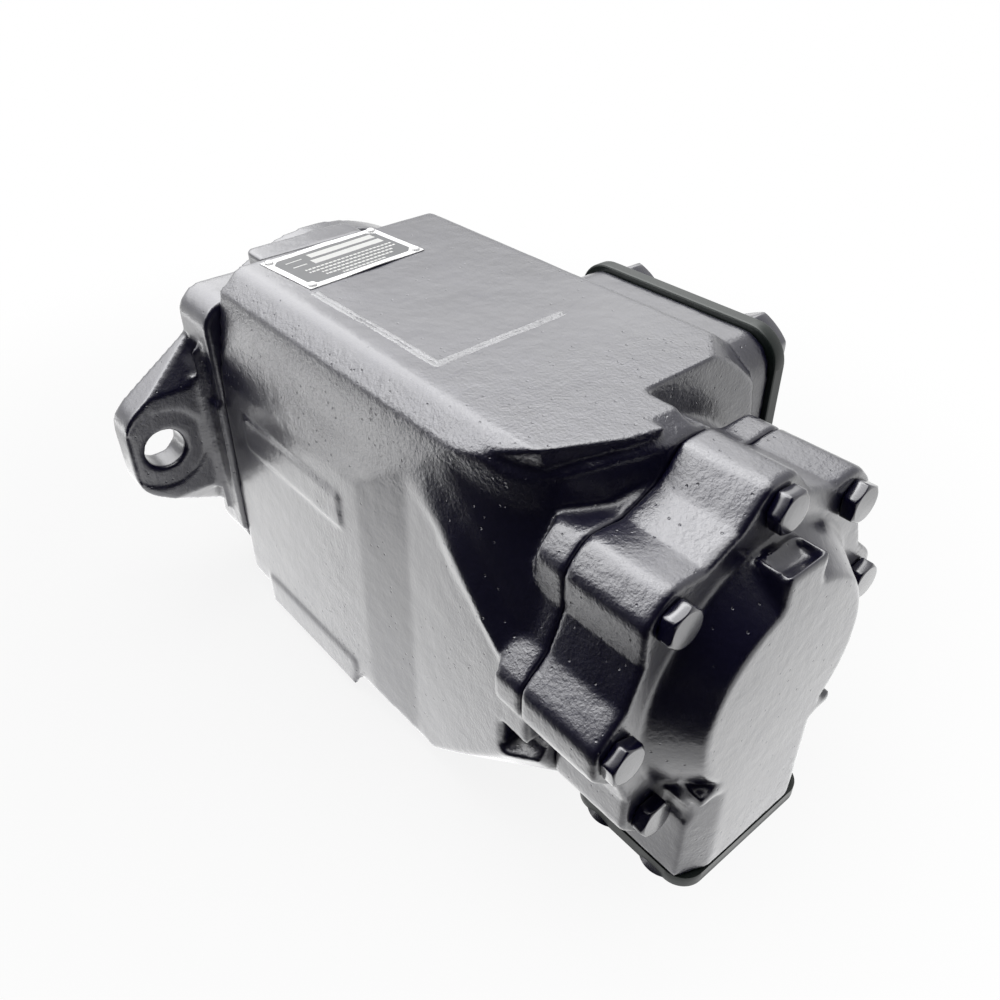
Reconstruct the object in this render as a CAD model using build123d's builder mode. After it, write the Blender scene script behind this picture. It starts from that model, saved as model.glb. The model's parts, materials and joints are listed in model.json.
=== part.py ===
from build123d import *
from dataclasses import dataclass
from math import cos, radians, sin
import os

# Double vane pump with a two-bolt mounting flange, a front and a rear pumping cartridge on one shaft,
# one shared suction port and one outlet for each cartridge.
# Millimetres. X runs along the shaft, x = 0 is the mounting face and +X points to the rear end cap.
# +Y points to the suction port and +Z is up. Both outlets face down.

os.makedirs("parts", exist_ok=True)

# ---------------------------------------------------------------- mounting flange and cap
pilot_d = 127.0
pilot_length = 12.7
flange_hole_d = 17.5
flange_hole_spacing = 181.0
ear_thickness = 15.0
ear_corner_r = 15.0
ear_corner_rise = 9.0
ear_flat_rise = 25.0
ear_slope_rise = 19.0
ear_rim = 3.0
spot_face_d = 38.0
spot_face_depth = 0.8
hub_r = 73.0
cap_depth = 25.0
cap_half_width = 67.0
cap_half_height = 62.0
cap_corner_r = 12.0
spigot_length = 6.0
lug_left = -38.0
lug_right = 12.0
lug_front = 10.0
lug_fillet = 5.0
web_fillet = 6.0
strip_top = 17.0
strip_length = 66.0
strip_width = 12.0
strip_relief = 1.5
cap_screw_d = 10.0
cap_screw_y = 53.0
cap_screw_z = 49.0
cap_screw_head_d = 16.0
cap_screw_head_height = 10.0
cap_screw_thread = 20.0

# ---------------------------------------------------------------- main housing
body_top = 74.0
body_bottom = -78.0
body_side = 63.5
top_left = -49.0
top_right = 47.0
shoulder_y = 58.0
shoulder_z = 66.0
shoulder_foot_y = 67.3
shoulder_foot_z = 16.0
shoulder_fillet = 9.0
bottom_corner = 7.0
side_draft = 1.6
waist_depth = 3.0
waist_start = 127.0
waist_end = 154.0
shoulder_setback = 21.0
flange_thickness = 12.0
neck_r = 59.5
housing_end = 219.0
bottom_cone_length = 59.0
bottom_cone_r = 102.0
# Plan of the scoop's inner wall: distance ahead of the parting face, and y
scoop_wall = [(60.0, -60.5), (44.0, -58.0), (22.0, -50.5), (8.0, -32.0), (0.0, -12.0)]
scoop_heel_z = 53.0
scoop_foot_z = -6.0
scoop_corner = 9.0
rib_right = 1.0
tag_length = 72.0
tag_height = 14.0
tag_relief = 1.0
tag_x = 79.0
upper_tag_z = 12.0
lower_tag_z = -72.0
valley_pocket_d = 14.0
valley_pocket_length = 13.0
valley_pocket_angle = 204.0

# ---------------------------------------------------------------- end cap
bolt_circle_r = 60.0
end_bolt_d = 8.0
end_bolt_head_af = 13.0
end_bolt_head_height = 5.3
bolt_chamfer = 0.7
lobe_reach = 9.5
lobe_half_angle = 5.0
valley_r = 60.5
valley_half_angle = 7.0
cap_ring_thickness = 32.0
cap_edge_r = 1.5
dome_height = 15.0
dome_foot_r = 49.5
dome_face_r = 38.0
riser_width = 19.0
riser_length = 12.0
riser_y = -2.5
riser_reach = 48.5
riser_rim = 1.6
riser_hollow = 3.0
block_half_width = 34.5
block_setback = 4.0
block_top = -29.0
block_edge = 12.0
block_edge_depth = 5.0
block_edge_start = -34.0
bolt_pocket_d = 19.0

# ---------------------------------------------------------------- ports and their covers
suction_x = 147.0
suction_bore_d = 76.0
suction_long = 106.4
suction_short = 61.9
suction_bolt_d = 16.0
suction_bolt_af = 24.0
suction_bolt_head_height = 10.0
suction_face_y = 73.0
suction_pad_margin_x = 34.1
suction_pad_margin_z = 25.6
suction_pad_r = 14.0
suction_cover_margin = 2.0
suction_cover_thickness = 6.0
outlet_1_x = 68.0
outlet_1_bore_d = 32.0
outlet_1_long = 58.7
outlet_1_short = 30.2
outlet_1_depth = 20.0
gallery_d = 9.0
outlet_2_setback = 19.0
outlet_2_bore_d = 25.0
outlet_2_long = 52.4
outlet_2_short = 26.2
outlet_bolt_d = 10.0
outlet_bolt_thread = 14.0
outlet_cover_thickness = 5.0
outlet_cover_margin = 13.0
outlet_cover_r = 9.0
cover_bolt_thread = 22.0

# ---------------------------------------------------------------- shaft, bearing and seal
drive_d = 31.75
drive_length = 55.6
drive_end = -15.0
key_width = 7.94
key_length = 38.0
key_front = -52.0
seal_land_d = 35.0
seal_od = 52.0
seal_width = 8.0
seal_front = -11.7
bearing_od = 72.0
bearing_width = 17.0
bearing_front = 4.0
ball_d = 11.1
ball_count = 9
race_gap = 2.9
ring_thickness = 1.75
ring_groove_depth = 1.5
ring_height = 5.0
ring_opening = 12.0
spline_teeth = 12
spline_tooth_height = 2.0
spline_tooth_width = 3.6
front_spline_d = 32.0
rear_spline_d = 28.0
journal_d = 25.0
journal_length = 25.0
journal_setback = 6.0
bush_wall = 3.0
shaft_hole_play = 2.0

# ---------------------------------------------------------------- cartridges
front_bore_d = 106.0
rear_bore_d = 98.0
chamber_d = 84.0
plate_thickness = 18.0
side_plate_thickness = 12.0
front_cam_width = 40.0
rear_cam_width = 32.0
rear_plate_reach = 6.0
cam_ring_play = 5.0
front_minor_r = 38.0
front_lift = 4.6
rear_minor_r = 33.5
rear_lift = 3.8
minor_dwell = 16.0
major_dwell = 20.0
vane_count = 10
vane_thickness = 3.2
vane_height = 10.5
under_vane_r = 2.1
kidney_width = 6.0
kidney_sweep = 34.0
dowel_d = 5.0
cartridge_screw_d = 5.0
pin_angle = 9.0
outlet_chamber_r = 36.0
outlet_chamber_length = 19.0
outlet_passage_overlap = 4.0
bush_boss_r = 21.0
seal_ring_width = 3.0

# ---------------------------------------------------------------- nameplate
plate_length = 56.0
plate_width = 35.0
plate_sheet = 0.8
plate_x = 45.0
plate_y = -11.5
plate_turn = 4.0
rivet_inset = 2.6
rivet_r = 1.1
rivet_head_r = 1.9

# ---------------------------------------------------------------- clearances
running = 0.03
locating = 0.05
vane_side = 0.02
rotor_gap = 0.25
vane_retreat = 0.4
bolt_play = 0.5

# ---------------------------------------------------------------- places along the shaft
flange_front = housing_end - flange_thickness
cap_ring_end = housing_end + cap_ring_thickness
cap_face = cap_ring_end + dome_height
shoulder_end = housing_end - shoulder_setback
scoop_length = scoop_wall[0][0]
scoop_start = housing_end - scoop_length
bottom_cone_start = housing_end - bottom_cone_length
block_front = housing_end + block_setback
outlet_2_x = housing_end + outlet_2_setback
rear_plate_end = housing_end + rear_plate_reach
outlet_chamber_end = rear_plate_end + outlet_chamber_length
journal_front = rear_plate_end + journal_setback
shaft_end = journal_front + journal_length
suction_pad_x = suction_short + suction_pad_margin_x
suction_pad_z = suction_long + suction_pad_margin_z
front_cam_od = front_bore_d - 2 * cam_ring_play
rear_cam_od = rear_bore_d - 2 * cam_ring_play
front_plate_x = cap_depth + spigot_length
front_cam_x = front_plate_x + plate_thickness
front_side_x = front_cam_x + front_cam_width
front_stop_x = front_side_x + side_plate_thickness
rear_plate_x = rear_plate_end - plate_thickness
rear_cam_x = rear_plate_x - rear_cam_width
rear_side_x = rear_cam_x - side_plate_thickness
bearing_end = bearing_front + bearing_width
bearing_middle = bearing_front + bearing_width / 2
ball_circle_r = (seal_land_d + bearing_od) / 4
cover_bottom = body_bottom - outlet_cover_thickness
end_bolt_angles = [0, 45, 90, 135, 180, 225, 315]


def write(part, name):
    """Label the finished piece and save it as its own file."""
    part.part.label = name
    export_step(part.part, f"parts/{name}.step")


def at_x(x):
    """Plane square to the shaft, its local x along +Y and its local y along +Z."""
    return Plane.YZ.offset(x)


def facing_suction(y):
    """Plane square to the suction port's axis, centred on the port, facing +Y."""
    return Plane(origin=(suction_x, y, 0), x_dir=(1, 0, 0), z_dir=(0, 1, 0))


def facing_down(x, z):
    """Plane centred on an outlet's axis, facing down."""
    return Plane(origin=(x, 0, z), x_dir=(1, 0, 0), z_dir=(0, 0, -1))


def round_shaft(r, angle):
    """Point at radius r from the shaft axis, angle in degrees from +Y towards +Z."""
    return (r * cos(radians(angle)), r * sin(radians(angle)))


def lobed_outline():
    """Corners of the eight-lobed outline that the housing flange and the end cap share."""
    corners = []
    for lobe in range(8):
        crest = 45.0 * lobe
        valley = crest + 22.5
        corners.append(round_shaft(bolt_circle_r + lobe_reach, crest - lobe_half_angle))
        corners.append(round_shaft(bolt_circle_r + lobe_reach, crest + lobe_half_angle))
        corners.append(round_shaft(valley_r, valley - valley_half_angle))
        corners.append(round_shaft(valley_r, valley + valley_half_angle))
    return corners


def spline_outline(tip_d, play=0.0):
    """Straight-sided spline section, added to the open sketch; play widens it for the hub's bore."""
    Circle(tip_d / 2 - spline_tooth_height + play)
    for tooth in range(spline_teeth):
        with Locations(Location((0, 0, 0), (0, 0, 360.0 * tooth / spline_teeth))):
            Rectangle(tip_d / 2 + play, spline_tooth_width + 2 * play, align=(Align.MIN, Align.CENTER))


# ================================================================ main housing
# The rear corner of the side wall is scooped out under a curved shoulder: seen from the side the scoop
# is a wedge whose foot slants down to the rear, and inside it ends on the round neck. The suction side
# stops at a straight shoulder. These two tools are what is taken away.
with BuildPart() as scoop:
    with BuildSketch(Plane.XZ) as scoop_side:
        with BuildLine():
            Polyline(
                (scoop_start, 2 * body_top),
                (scoop_start, scoop_heel_z),
                (housing_end, scoop_foot_z),
                (housing_end, 2 * body_top),
                close=True,
            )
        make_face()
        fillet(scoop_side.vertices().group_by(Axis.Y)[1], radius=scoop_corner)
    extrude(amount=2 * body_side)
    with BuildSketch(Plane.XY.offset(-body_top)):
        with BuildLine():
            Spline(*[(housing_end - ahead, y) for ahead, y in scoop_wall])
            Polyline(
                (housing_end, scoop_wall[-1][1]),
                (housing_end, -2 * body_side),
                (scoop_start, -2 * body_side),
                (scoop_start, scoop_wall[0][1]),
            )
        make_face()
    extrude(amount=4 * body_top, mode=Mode.INTERSECT)
    with BuildSketch(at_x(scoop_start)):
        Circle(neck_r)
    extrude(amount=scoop_length, mode=Mode.SUBTRACT)

with BuildPart() as rear_step:
    with BuildSketch(at_x(shoulder_end)):
        with Locations((rib_right, 0)):
            Rectangle(2 * body_side, 3 * body_top, align=(Align.MIN, Align.CENTER))
        Circle(neck_r, mode=Mode.SUBTRACT)
    extrude(amount=housing_end - shoulder_end)

# One casting: a long box whose end view and plan overlap, a neck, an eight-lobed flange for the end
# cap, a deep suction pad, and bores for the two cartridges.
with BuildPart() as main_housing:
    with BuildSketch(at_x(cap_depth)) as end_view:
        with BuildLine():
            Polyline(
                (top_left, body_top),
                (-shoulder_y, shoulder_z),
                (-shoulder_foot_y, shoulder_foot_z),
                (-shoulder_foot_y, body_bottom + bottom_corner),
                (-body_side, body_bottom),
                (body_side, body_bottom),
                (shoulder_foot_y, body_bottom + bottom_corner),
                (shoulder_foot_y, shoulder_foot_z),
                (shoulder_y, shoulder_z),
                (top_right, body_top),
                close=True,
            )
        make_face()
        fillet(end_view.vertices().group_by(Axis.Y)[-1].sort_by(Axis.X)[0], radius=shoulder_fillet)
        fillet(end_view.vertices().group_by(Axis.Y)[-2].sort_by(Axis.X)[0], radius=shoulder_fillet)
    extrude(amount=housing_end - cap_depth)
    with BuildSketch(Plane.XY.offset(body_top)):
        with BuildLine():
            Polyline(
                (cap_depth, -body_side),
                (waist_start, -body_side),
                (waist_end, -body_side + waist_depth),
                (housing_end, -body_side),
                (housing_end, body_side),
                (cap_depth, body_side),
                close=True,
            )
        make_face()
    extrude(amount=body_top - body_bottom, dir=(0, 0, -1), taper=-side_draft, mode=Mode.INTERSECT)
    add(scoop.part, mode=Mode.SUBTRACT)
    add(rear_step.part, mode=Mode.SUBTRACT)

    # The bottom corners are coned down towards the round rear flange.
    with BuildSketch(Plane.XZ):
        with BuildLine():
            Polyline(
                (bottom_cone_start, -bottom_cone_r),
                (housing_end, -bolt_circle_r - lobe_reach),
                (housing_end, -2 * bottom_cone_r),
                (bottom_cone_start, -2 * bottom_cone_r),
                close=True,
            )
        make_face()
    revolve(axis=Axis.X, mode=Mode.SUBTRACT)
    with BuildSketch(at_x(flange_front)) as flange_view:
        Polygon(*lobed_outline(), align=None)
        fillet(flange_view.vertices().filter_by(lambda v: Vector(v).length > bolt_circle_r + 5), radius=7)
    extrude(amount=flange_thickness)

    # Recess in the valley of the flange below the scoop
    with BuildSketch(at_x(housing_end)):
        with Locations(round_shaft(bolt_circle_r + lobe_reach, valley_pocket_angle)):
            Circle(valley_pocket_d / 2)
    extrude(amount=-valley_pocket_length, mode=Mode.SUBTRACT)

    # Suction pad on a deep neck
    with BuildSketch(facing_suction(0)):
        RectangleRounded(suction_pad_x, suction_pad_z, suction_pad_r)
    extrude(amount=suction_face_y)

    # Raised bars on the visible side wall
    wall = Plane(
        origin=(tag_x, -body_side, body_top),
        x_dir=(1, 0, 0),
        z_dir=(0, -cos(radians(side_draft)), sin(radians(side_draft))),
    )
    with BuildSketch(wall.offset(-tag_relief)):
        with Locations((0, upper_tag_z - body_top), (0, lower_tag_z - body_top)):
            RectangleRounded(tag_length, tag_height, 1.5)
    extrude(amount=2 * tag_relief)

    # Bores for the cartridges, and the suction chamber between them
    with BuildSketch(at_x(cap_depth)):
        Circle(front_bore_d / 2)
    extrude(amount=front_stop_x - cap_depth, mode=Mode.SUBTRACT)
    with BuildSketch(at_x(front_stop_x)):
        Circle(chamber_d / 2)
    extrude(amount=rear_side_x - front_stop_x, mode=Mode.SUBTRACT)
    with BuildSketch(at_x(rear_side_x)):
        Circle(rear_bore_d / 2)
    extrude(amount=housing_end - rear_side_x, mode=Mode.SUBTRACT)
    with BuildSketch(facing_suction(0)):
        Circle(suction_bore_d / 2)
    extrude(amount=suction_face_y, mode=Mode.SUBTRACT)

    # First outlet: its port, and the gallery from the front plate's groove
    with BuildSketch(facing_down(outlet_1_x, body_bottom + outlet_1_depth)):
        Circle(outlet_1_bore_d / 2)
    extrude(amount=outlet_1_depth, mode=Mode.SUBTRACT)
    with BuildSketch(facing_down(front_plate_x + plate_thickness / 2, 0)):
        with Locations((outlet_1_x - outlet_1_bore_d / 2 - front_plate_x, 0)):
            Circle(gallery_d / 2)
    extrude(amount=-body_bottom - outlet_1_depth + gallery_d, mode=Mode.SUBTRACT)

    # Threaded holes
    with BuildSketch(at_x(cap_depth)):
        with GridLocations(2 * cap_screw_y, 2 * cap_screw_z, 2, 2):
            Circle(cap_screw_d / 2 + locating)
    extrude(amount=cap_screw_thread + bolt_play, mode=Mode.SUBTRACT)
    with BuildSketch(at_x(flange_front)):
        for angle in end_bolt_angles:
            with Locations(round_shaft(bolt_circle_r, angle)):
                Circle(end_bolt_d / 2 + locating)
    extrude(amount=flange_thickness, mode=Mode.SUBTRACT)
    with BuildSketch(facing_suction(suction_face_y)):
        with GridLocations(suction_short, suction_long, 2, 2):
            Circle(suction_bolt_d / 2 + locating)
    extrude(amount=-cover_bolt_thread - bolt_play, mode=Mode.SUBTRACT)
    with BuildSketch(facing_down(outlet_1_x, body_bottom)):
        with GridLocations(outlet_1_long, outlet_1_short, 2, 2):
            Circle(outlet_bolt_d / 2 + locating)
    extrude(amount=-outlet_bolt_thread - bolt_play, mode=Mode.SUBTRACT)
write(main_housing, "main_housing")


# ================================================================ mounting cap
# Front casting: two-bolt flange with its pilot, a square body that meets the housing, a lug on top,
# and the pockets of the shaft seal and the ball bearing.
ear_corners = [
    (side * flange_hole_spacing / 2, rise) for side in (-1, 1) for rise in (-ear_corner_rise, ear_corner_rise)
]
flange_holes = [(-flange_hole_spacing / 2, 0), (flange_hole_spacing / 2, 0)]
spigot_r = front_bore_d / 2 - locating
spigot_groove_x = cap_depth + (spigot_length - seal_ring_width) / 2

with BuildPart() as mounting_cap:
    with BuildSketch(at_x(0)):
        Circle(hub_r)
        with Locations(*ear_corners):
            Circle(ear_corner_r)
        make_hull()
    extrude(amount=ear_thickness)
    with BuildSketch(at_x(0)):
        RectangleRounded(2 * cap_half_width, 2 * cap_half_height, cap_corner_r)
    extrude(amount=cap_depth)
    with BuildSketch(Plane.XZ.offset(cap_half_width)):
        with Locations((cap_depth, strip_top)):
            Rectangle(strip_width, strip_length, align=(Align.MAX, Align.MAX))
    extrude(amount=strip_relief)
    web_edges = mounting_cap.edges().filter_by(Axis.Z).filter_by(
        lambda e: abs(e.center().X - ear_thickness) < 0.1 and abs(abs(e.center().Y) - cap_half_width) < 0.1
    )
    fillet(web_edges, radius=web_fillet)

    # Each ear slopes off above and below a flat middle.
    for side in (-1, 1):
        with BuildSketch(Plane.XZ.offset(side * cap_half_width)):
            for rise in (-1, 1):
                with BuildLine():
                    Polyline(
                        (ear_thickness, rise * ear_flat_rise),
                        (ear_rim, rise * (ear_flat_rise + ear_slope_rise)),
                        (ear_rim, rise * hub_r),
                        (ear_thickness, rise * hub_r),
                        close=True,
                    )
                make_face()
        extrude(amount=side * hub_r, mode=Mode.SUBTRACT)
    with BuildSketch(Plane.XY.offset(cap_half_height - cap_corner_r)):
        with Locations((lug_front, lug_left)):
            Rectangle(cap_depth - lug_front, lug_right - lug_left, align=(Align.MIN, Align.MIN))
    extrude(amount=body_top - cap_half_height + cap_corner_r)
    lug_edges = mounting_cap.edges().filter_by(Axis.Z).filter_by(
        lambda e: abs(e.center().X - lug_front) < 0.1 and e.center().Z > cap_half_height
    )
    fillet(lug_edges, radius=lug_fillet)
    with BuildSketch(at_x(0)):
        Circle(pilot_d / 2)
    extrude(amount=-pilot_length)
    with BuildSketch(at_x(cap_depth)):
        Circle(spigot_r)
    extrude(amount=spigot_length)
    with BuildSketch(at_x(spigot_groove_x)):
        Circle(spigot_r + 1)
        Circle(spigot_r - seal_ring_width, mode=Mode.SUBTRACT)
    extrude(amount=seal_ring_width, mode=Mode.SUBTRACT)
    with BuildSketch(at_x(0)):
        with Locations(*flange_holes):
            Circle(flange_hole_d / 2)
    extrude(amount=ear_thickness, mode=Mode.SUBTRACT)
    with BuildSketch(at_x(ear_thickness)):
        with Locations(*flange_holes):
            Circle(spot_face_d / 2)
    extrude(amount=-spot_face_depth, mode=Mode.SUBTRACT)

    # Seal pocket, shaft hole, bearing pocket and the groove of its retaining ring
    with BuildSketch(at_x(seal_front - 1)):
        Circle(seal_od / 2)
    extrude(amount=seal_width + 1, mode=Mode.SUBTRACT)
    with BuildSketch(at_x(-pilot_length)):
        Circle(seal_land_d / 2 + shaft_hole_play)
    extrude(amount=pilot_length + front_plate_x, mode=Mode.SUBTRACT)
    with BuildSketch(at_x(bearing_front)):
        Circle(bearing_od / 2)
    extrude(amount=front_plate_x - bearing_front, mode=Mode.SUBTRACT)
    with BuildSketch(at_x(bearing_end)):
        Circle(bearing_od / 2 + ring_groove_depth)
    extrude(amount=ring_thickness, mode=Mode.SUBTRACT)

    # Counterbored holes for the screws into the housing
    with BuildSketch(at_x(0)):
        with GridLocations(2 * cap_screw_y, 2 * cap_screw_z, 2, 2):
            Circle(cap_screw_d / 2 + bolt_play)
    extrude(amount=cap_depth, mode=Mode.SUBTRACT)
    with BuildSketch(at_x(0)):
        with GridLocations(2 * cap_screw_y, 2 * cap_screw_z, 2, 2):
            Circle(cap_screw_head_d / 2 + bolt_play)
    extrude(amount=cap_screw_head_height + bolt_play, mode=Mode.SUBTRACT)
write(mounting_cap, "mounting_cap")


# ================================================================ end cap
# Rear casting: eight-lobed ring, coned dome with a flat face and a sawn riser, and the block of the
# second outlet below, whose passage takes the place of the eighth bolt.
with BuildPart() as end_cap:
    with BuildSketch(at_x(housing_end)) as ring_view:
        Polygon(*lobed_outline(), align=None)
        fillet(ring_view.vertices().filter_by(lambda v: Vector(v).length > bolt_circle_r + 5), radius=7)
    extrude(amount=cap_ring_thickness)
    fillet(end_cap.faces().sort_by(Axis.X)[-1].edges(), radius=cap_edge_r)
    with BuildSketch(Plane.XZ):
        with BuildLine():
            Polyline(
                (cap_ring_end - 1, 0),
                (cap_ring_end - 1, dome_foot_r),
                (cap_ring_end, dome_foot_r),
                (cap_face, dome_face_r),
                (cap_face, 0),
                close=True,
            )
        make_face()
    revolve(axis=Axis.X)
    with BuildSketch(Plane.XY.offset(body_bottom)):
        with Locations((block_front, 0)):
            Rectangle(cap_face - block_front, 2 * block_half_width, align=(Align.MIN, Align.CENTER))
    extrude(amount=block_top - body_bottom)
    with BuildSketch(Plane.XY.offset(body_bottom)):
        for side in (-1, 1):
            with BuildLine():
                Polyline(
                    (cap_face, side * (block_half_width - block_edge)),
                    (cap_face - block_edge_depth, side * block_half_width),
                    (cap_face, side * block_half_width),
                    close=True,
                )
            make_face()
    extrude(amount=block_edge_start - body_bottom, mode=Mode.SUBTRACT)
    with BuildSketch(Plane.XY):
        with Locations((cap_face, riser_y)):
            Rectangle(riser_length, riser_width, align=(Align.MAX, Align.CENTER))
    extrude(amount=riser_reach)
    riser_edges = end_cap.edges().filter_by(Axis.Z).filter_by(
        lambda e: abs(e.center().X - cap_face + riser_length) < 0.1 and e.center().Z > 0
    )
    fillet(riser_edges, radius=riser_rim)
    with BuildSketch(Plane.XZ.offset(-riser_y)):
        with Locations((cap_face - riser_length / 2, riser_reach)):
            Ellipse(riser_length / 2 - riser_rim, riser_hollow)
    extrude(amount=riser_width / 2 - riser_rim, both=True, mode=Mode.SUBTRACT)

    # Pockets for the two bolt heads beside the outlet block
    with BuildSketch(at_x(cap_ring_end)):
        for angle in (225, 315):
            with Locations(round_shaft(bolt_circle_r, angle)):
                Circle(bolt_pocket_d / 2)
    extrude(amount=dome_height, mode=Mode.SUBTRACT)

    # Seat of the rear plate, outlet chamber round the bush boss, and the outlet
    with BuildSketch(at_x(housing_end)):
        Circle(rear_bore_d / 2)
    extrude(amount=rear_plate_end - housing_end, mode=Mode.SUBTRACT)
    with BuildSketch(at_x(rear_plate_end)):
        Circle(outlet_chamber_r)
        Circle(bush_boss_r, mode=Mode.SUBTRACT)
    extrude(amount=outlet_chamber_end - rear_plate_end, mode=Mode.SUBTRACT)
    with BuildSketch(facing_down(outlet_2_x, -bush_boss_r - outlet_passage_overlap)):
        Circle(outlet_2_bore_d / 2)
    extrude(amount=-body_bottom - bush_boss_r - outlet_passage_overlap, mode=Mode.SUBTRACT)
    with BuildSketch(at_x(rear_plate_end)):
        Circle(journal_d / 2 + bush_wall)
    extrude(amount=shaft_end + 1 - rear_plate_end, mode=Mode.SUBTRACT)
    with BuildSketch(at_x(housing_end)):
        Circle(rear_bore_d / 2 + 2 + seal_ring_width)
        Circle(rear_bore_d / 2 + 2, mode=Mode.SUBTRACT)
    extrude(amount=seal_ring_width / 2, mode=Mode.SUBTRACT)
    with BuildSketch(at_x(housing_end)):
        for angle in end_bolt_angles:
            with Locations(round_shaft(bolt_circle_r, angle)):
                Circle(end_bolt_d / 2 + bolt_play)
    extrude(amount=cap_ring_thickness, mode=Mode.SUBTRACT)
    with BuildSketch(facing_down(outlet_2_x, body_bottom)):
        with GridLocations(outlet_2_short, outlet_2_long, 2, 2):
            Circle(outlet_bolt_d / 2 + locating)
    extrude(amount=-outlet_bolt_thread - bolt_play, mode=Mode.SUBTRACT)
write(end_cap, "end_cap")


# ================================================================ screws that hold the castings
with BuildPart() as end_cap_bolts:
    with BuildSketch(at_x(cap_ring_end)):
        for angle in end_bolt_angles:
            with Locations(round_shaft(bolt_circle_r, angle)):
                RegularPolygon(end_bolt_head_af / 2, 6, major_radius=False)
    extrude(amount=end_bolt_head_height)
    chamfer(end_cap_bolts.faces().sort_by(Axis.X)[-len(end_bolt_angles) :].edges(), length=bolt_chamfer)
    with BuildSketch(at_x(flange_front)):
        for angle in end_bolt_angles:
            with Locations(round_shaft(bolt_circle_r, angle)):
                Circle(end_bolt_d / 2)
    extrude(amount=cap_ring_end - flange_front)
write(end_cap_bolts, "end_cap_bolts")

with BuildPart() as mounting_cap_screws:
    with BuildSketch(at_x(0)):
        with GridLocations(2 * cap_screw_y, 2 * cap_screw_z, 2, 2):
            Circle(cap_screw_head_d / 2)
            RegularPolygon(cap_screw_d * 0.4, 6, major_radius=False, mode=Mode.SUBTRACT)
    extrude(amount=cap_screw_head_height * 0.6)
    with BuildSketch(at_x(cap_screw_head_height * 0.6)):
        with GridLocations(2 * cap_screw_y, 2 * cap_screw_z, 2, 2):
            Circle(cap_screw_head_d / 2)
    extrude(amount=cap_screw_head_height * 0.4)
    with BuildSketch(at_x(cap_screw_head_height)):
        with GridLocations(2 * cap_screw_y, 2 * cap_screw_z, 2, 2):
            Circle(cap_screw_d / 2)
    extrude(amount=cap_depth + cap_screw_thread - cap_screw_head_height)
mounting_cap_screws.part.locate(Location((bolt_play, 0, 0)))
write(mounting_cap_screws, "mounting_cap_screws")


# ================================================================ seals between the castings
def square_ring(x, inner_r, width, height):
    """Square-section seal ring lying in its groove."""
    with BuildPart() as ring:
        with BuildSketch(at_x(x)):
            Circle(inner_r + height)
            Circle(inner_r, mode=Mode.SUBTRACT)
        extrude(amount=width)
    return ring


mounting_cap_seal = square_ring(
    spigot_groove_x + locating, spigot_r - seal_ring_width, seal_ring_width - 2 * locating, seal_ring_width
)
write(mounting_cap_seal, "mounting_cap_seal")
end_cap_seal = square_ring(
    housing_end, rear_bore_d / 2 + 2 + locating, seal_ring_width / 2 - locating, seal_ring_width - 2 * locating
)
write(end_cap_seal, "end_cap_seal")


# ================================================================ suction cover and outlet covers
def port_cover(face, size_x, size_y, corner_r, thickness, bolt_x, bolt_y, bolt_d):
    """Flat shipping cover over a port, with its four bolt holes."""
    with BuildPart() as cover:
        with BuildSketch(face):
            RectangleRounded(size_x, size_y, corner_r)
            with GridLocations(bolt_x, bolt_y, 2, 2):
                Circle(bolt_d / 2 + bolt_play, mode=Mode.SUBTRACT)
        extrude(amount=thickness)
    return cover


suction_cover = port_cover(
    facing_suction(suction_face_y),
    suction_pad_x + 2 * suction_cover_margin,
    suction_pad_z + 2 * suction_cover_margin,
    suction_pad_r,
    suction_cover_thickness,
    suction_short,
    suction_long,
    suction_bolt_d,
)
write(suction_cover, "suction_cover")

with BuildPart() as suction_cover_bolts:
    with BuildSketch(facing_suction(suction_face_y + suction_cover_thickness)):
        with GridLocations(suction_short, suction_long, 2, 2):
            RegularPolygon(suction_bolt_af / 2, 6, major_radius=False)
    extrude(amount=suction_bolt_head_height)
    chamfer(suction_cover_bolts.faces().sort_by(Axis.Y)[-4:].edges(), length=bolt_chamfer)
    with BuildSketch(facing_suction(suction_face_y + suction_cover_thickness)):
        with GridLocations(suction_short, suction_long, 2, 2):
            Circle(suction_bolt_d / 2)
    extrude(amount=-suction_cover_thickness - cover_bolt_thread)
write(suction_cover_bolts, "suction_cover_bolts")


def outlet_cover(x, size_x, size_y, bolt_x, bolt_y):
    """Shipping cover under an outlet, countersunk so that the pump can stand on it."""
    face = facing_down(x, body_bottom)
    with BuildPart() as cover:
        with BuildSketch(face):
            RectangleRounded(size_x, size_y, outlet_cover_r)
        extrude(amount=outlet_cover_thickness)
        with Locations(face.offset(outlet_cover_thickness)):
            with GridLocations(bolt_x, bolt_y, 2, 2):
                CounterSinkHole(
                    outlet_bolt_d / 2 + bolt_play, outlet_bolt_d, outlet_cover_thickness, counter_sink_angle=90
                )
    return cover


def outlet_screws(x, bolt_x, bolt_y):
    """Countersunk screws of an outlet cover, with a hexagon socket."""
    face = facing_down(x, cover_bottom)
    cone = outlet_bolt_d / 2
    with BuildPart() as screws:
        with BuildSketch(face.offset(-cone)):
            with GridLocations(bolt_x, bolt_y, 2, 2):
                Circle(outlet_bolt_d / 2)
        extrude(amount=-outlet_bolt_thread)
        with BuildSketch(face.offset(-locating)):
            with GridLocations(bolt_x, bolt_y, 2, 2):
                Circle(outlet_bolt_d - 2 * locating)
        extrude(amount=-cone + locating, taper=45)
        with BuildSketch(face.offset(-locating)):
            with GridLocations(bolt_x, bolt_y, 2, 2):
                RegularPolygon(outlet_bolt_d * 0.3, 6, major_radius=False)
        extrude(amount=-cone * 0.7, mode=Mode.SUBTRACT)
    return screws


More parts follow.
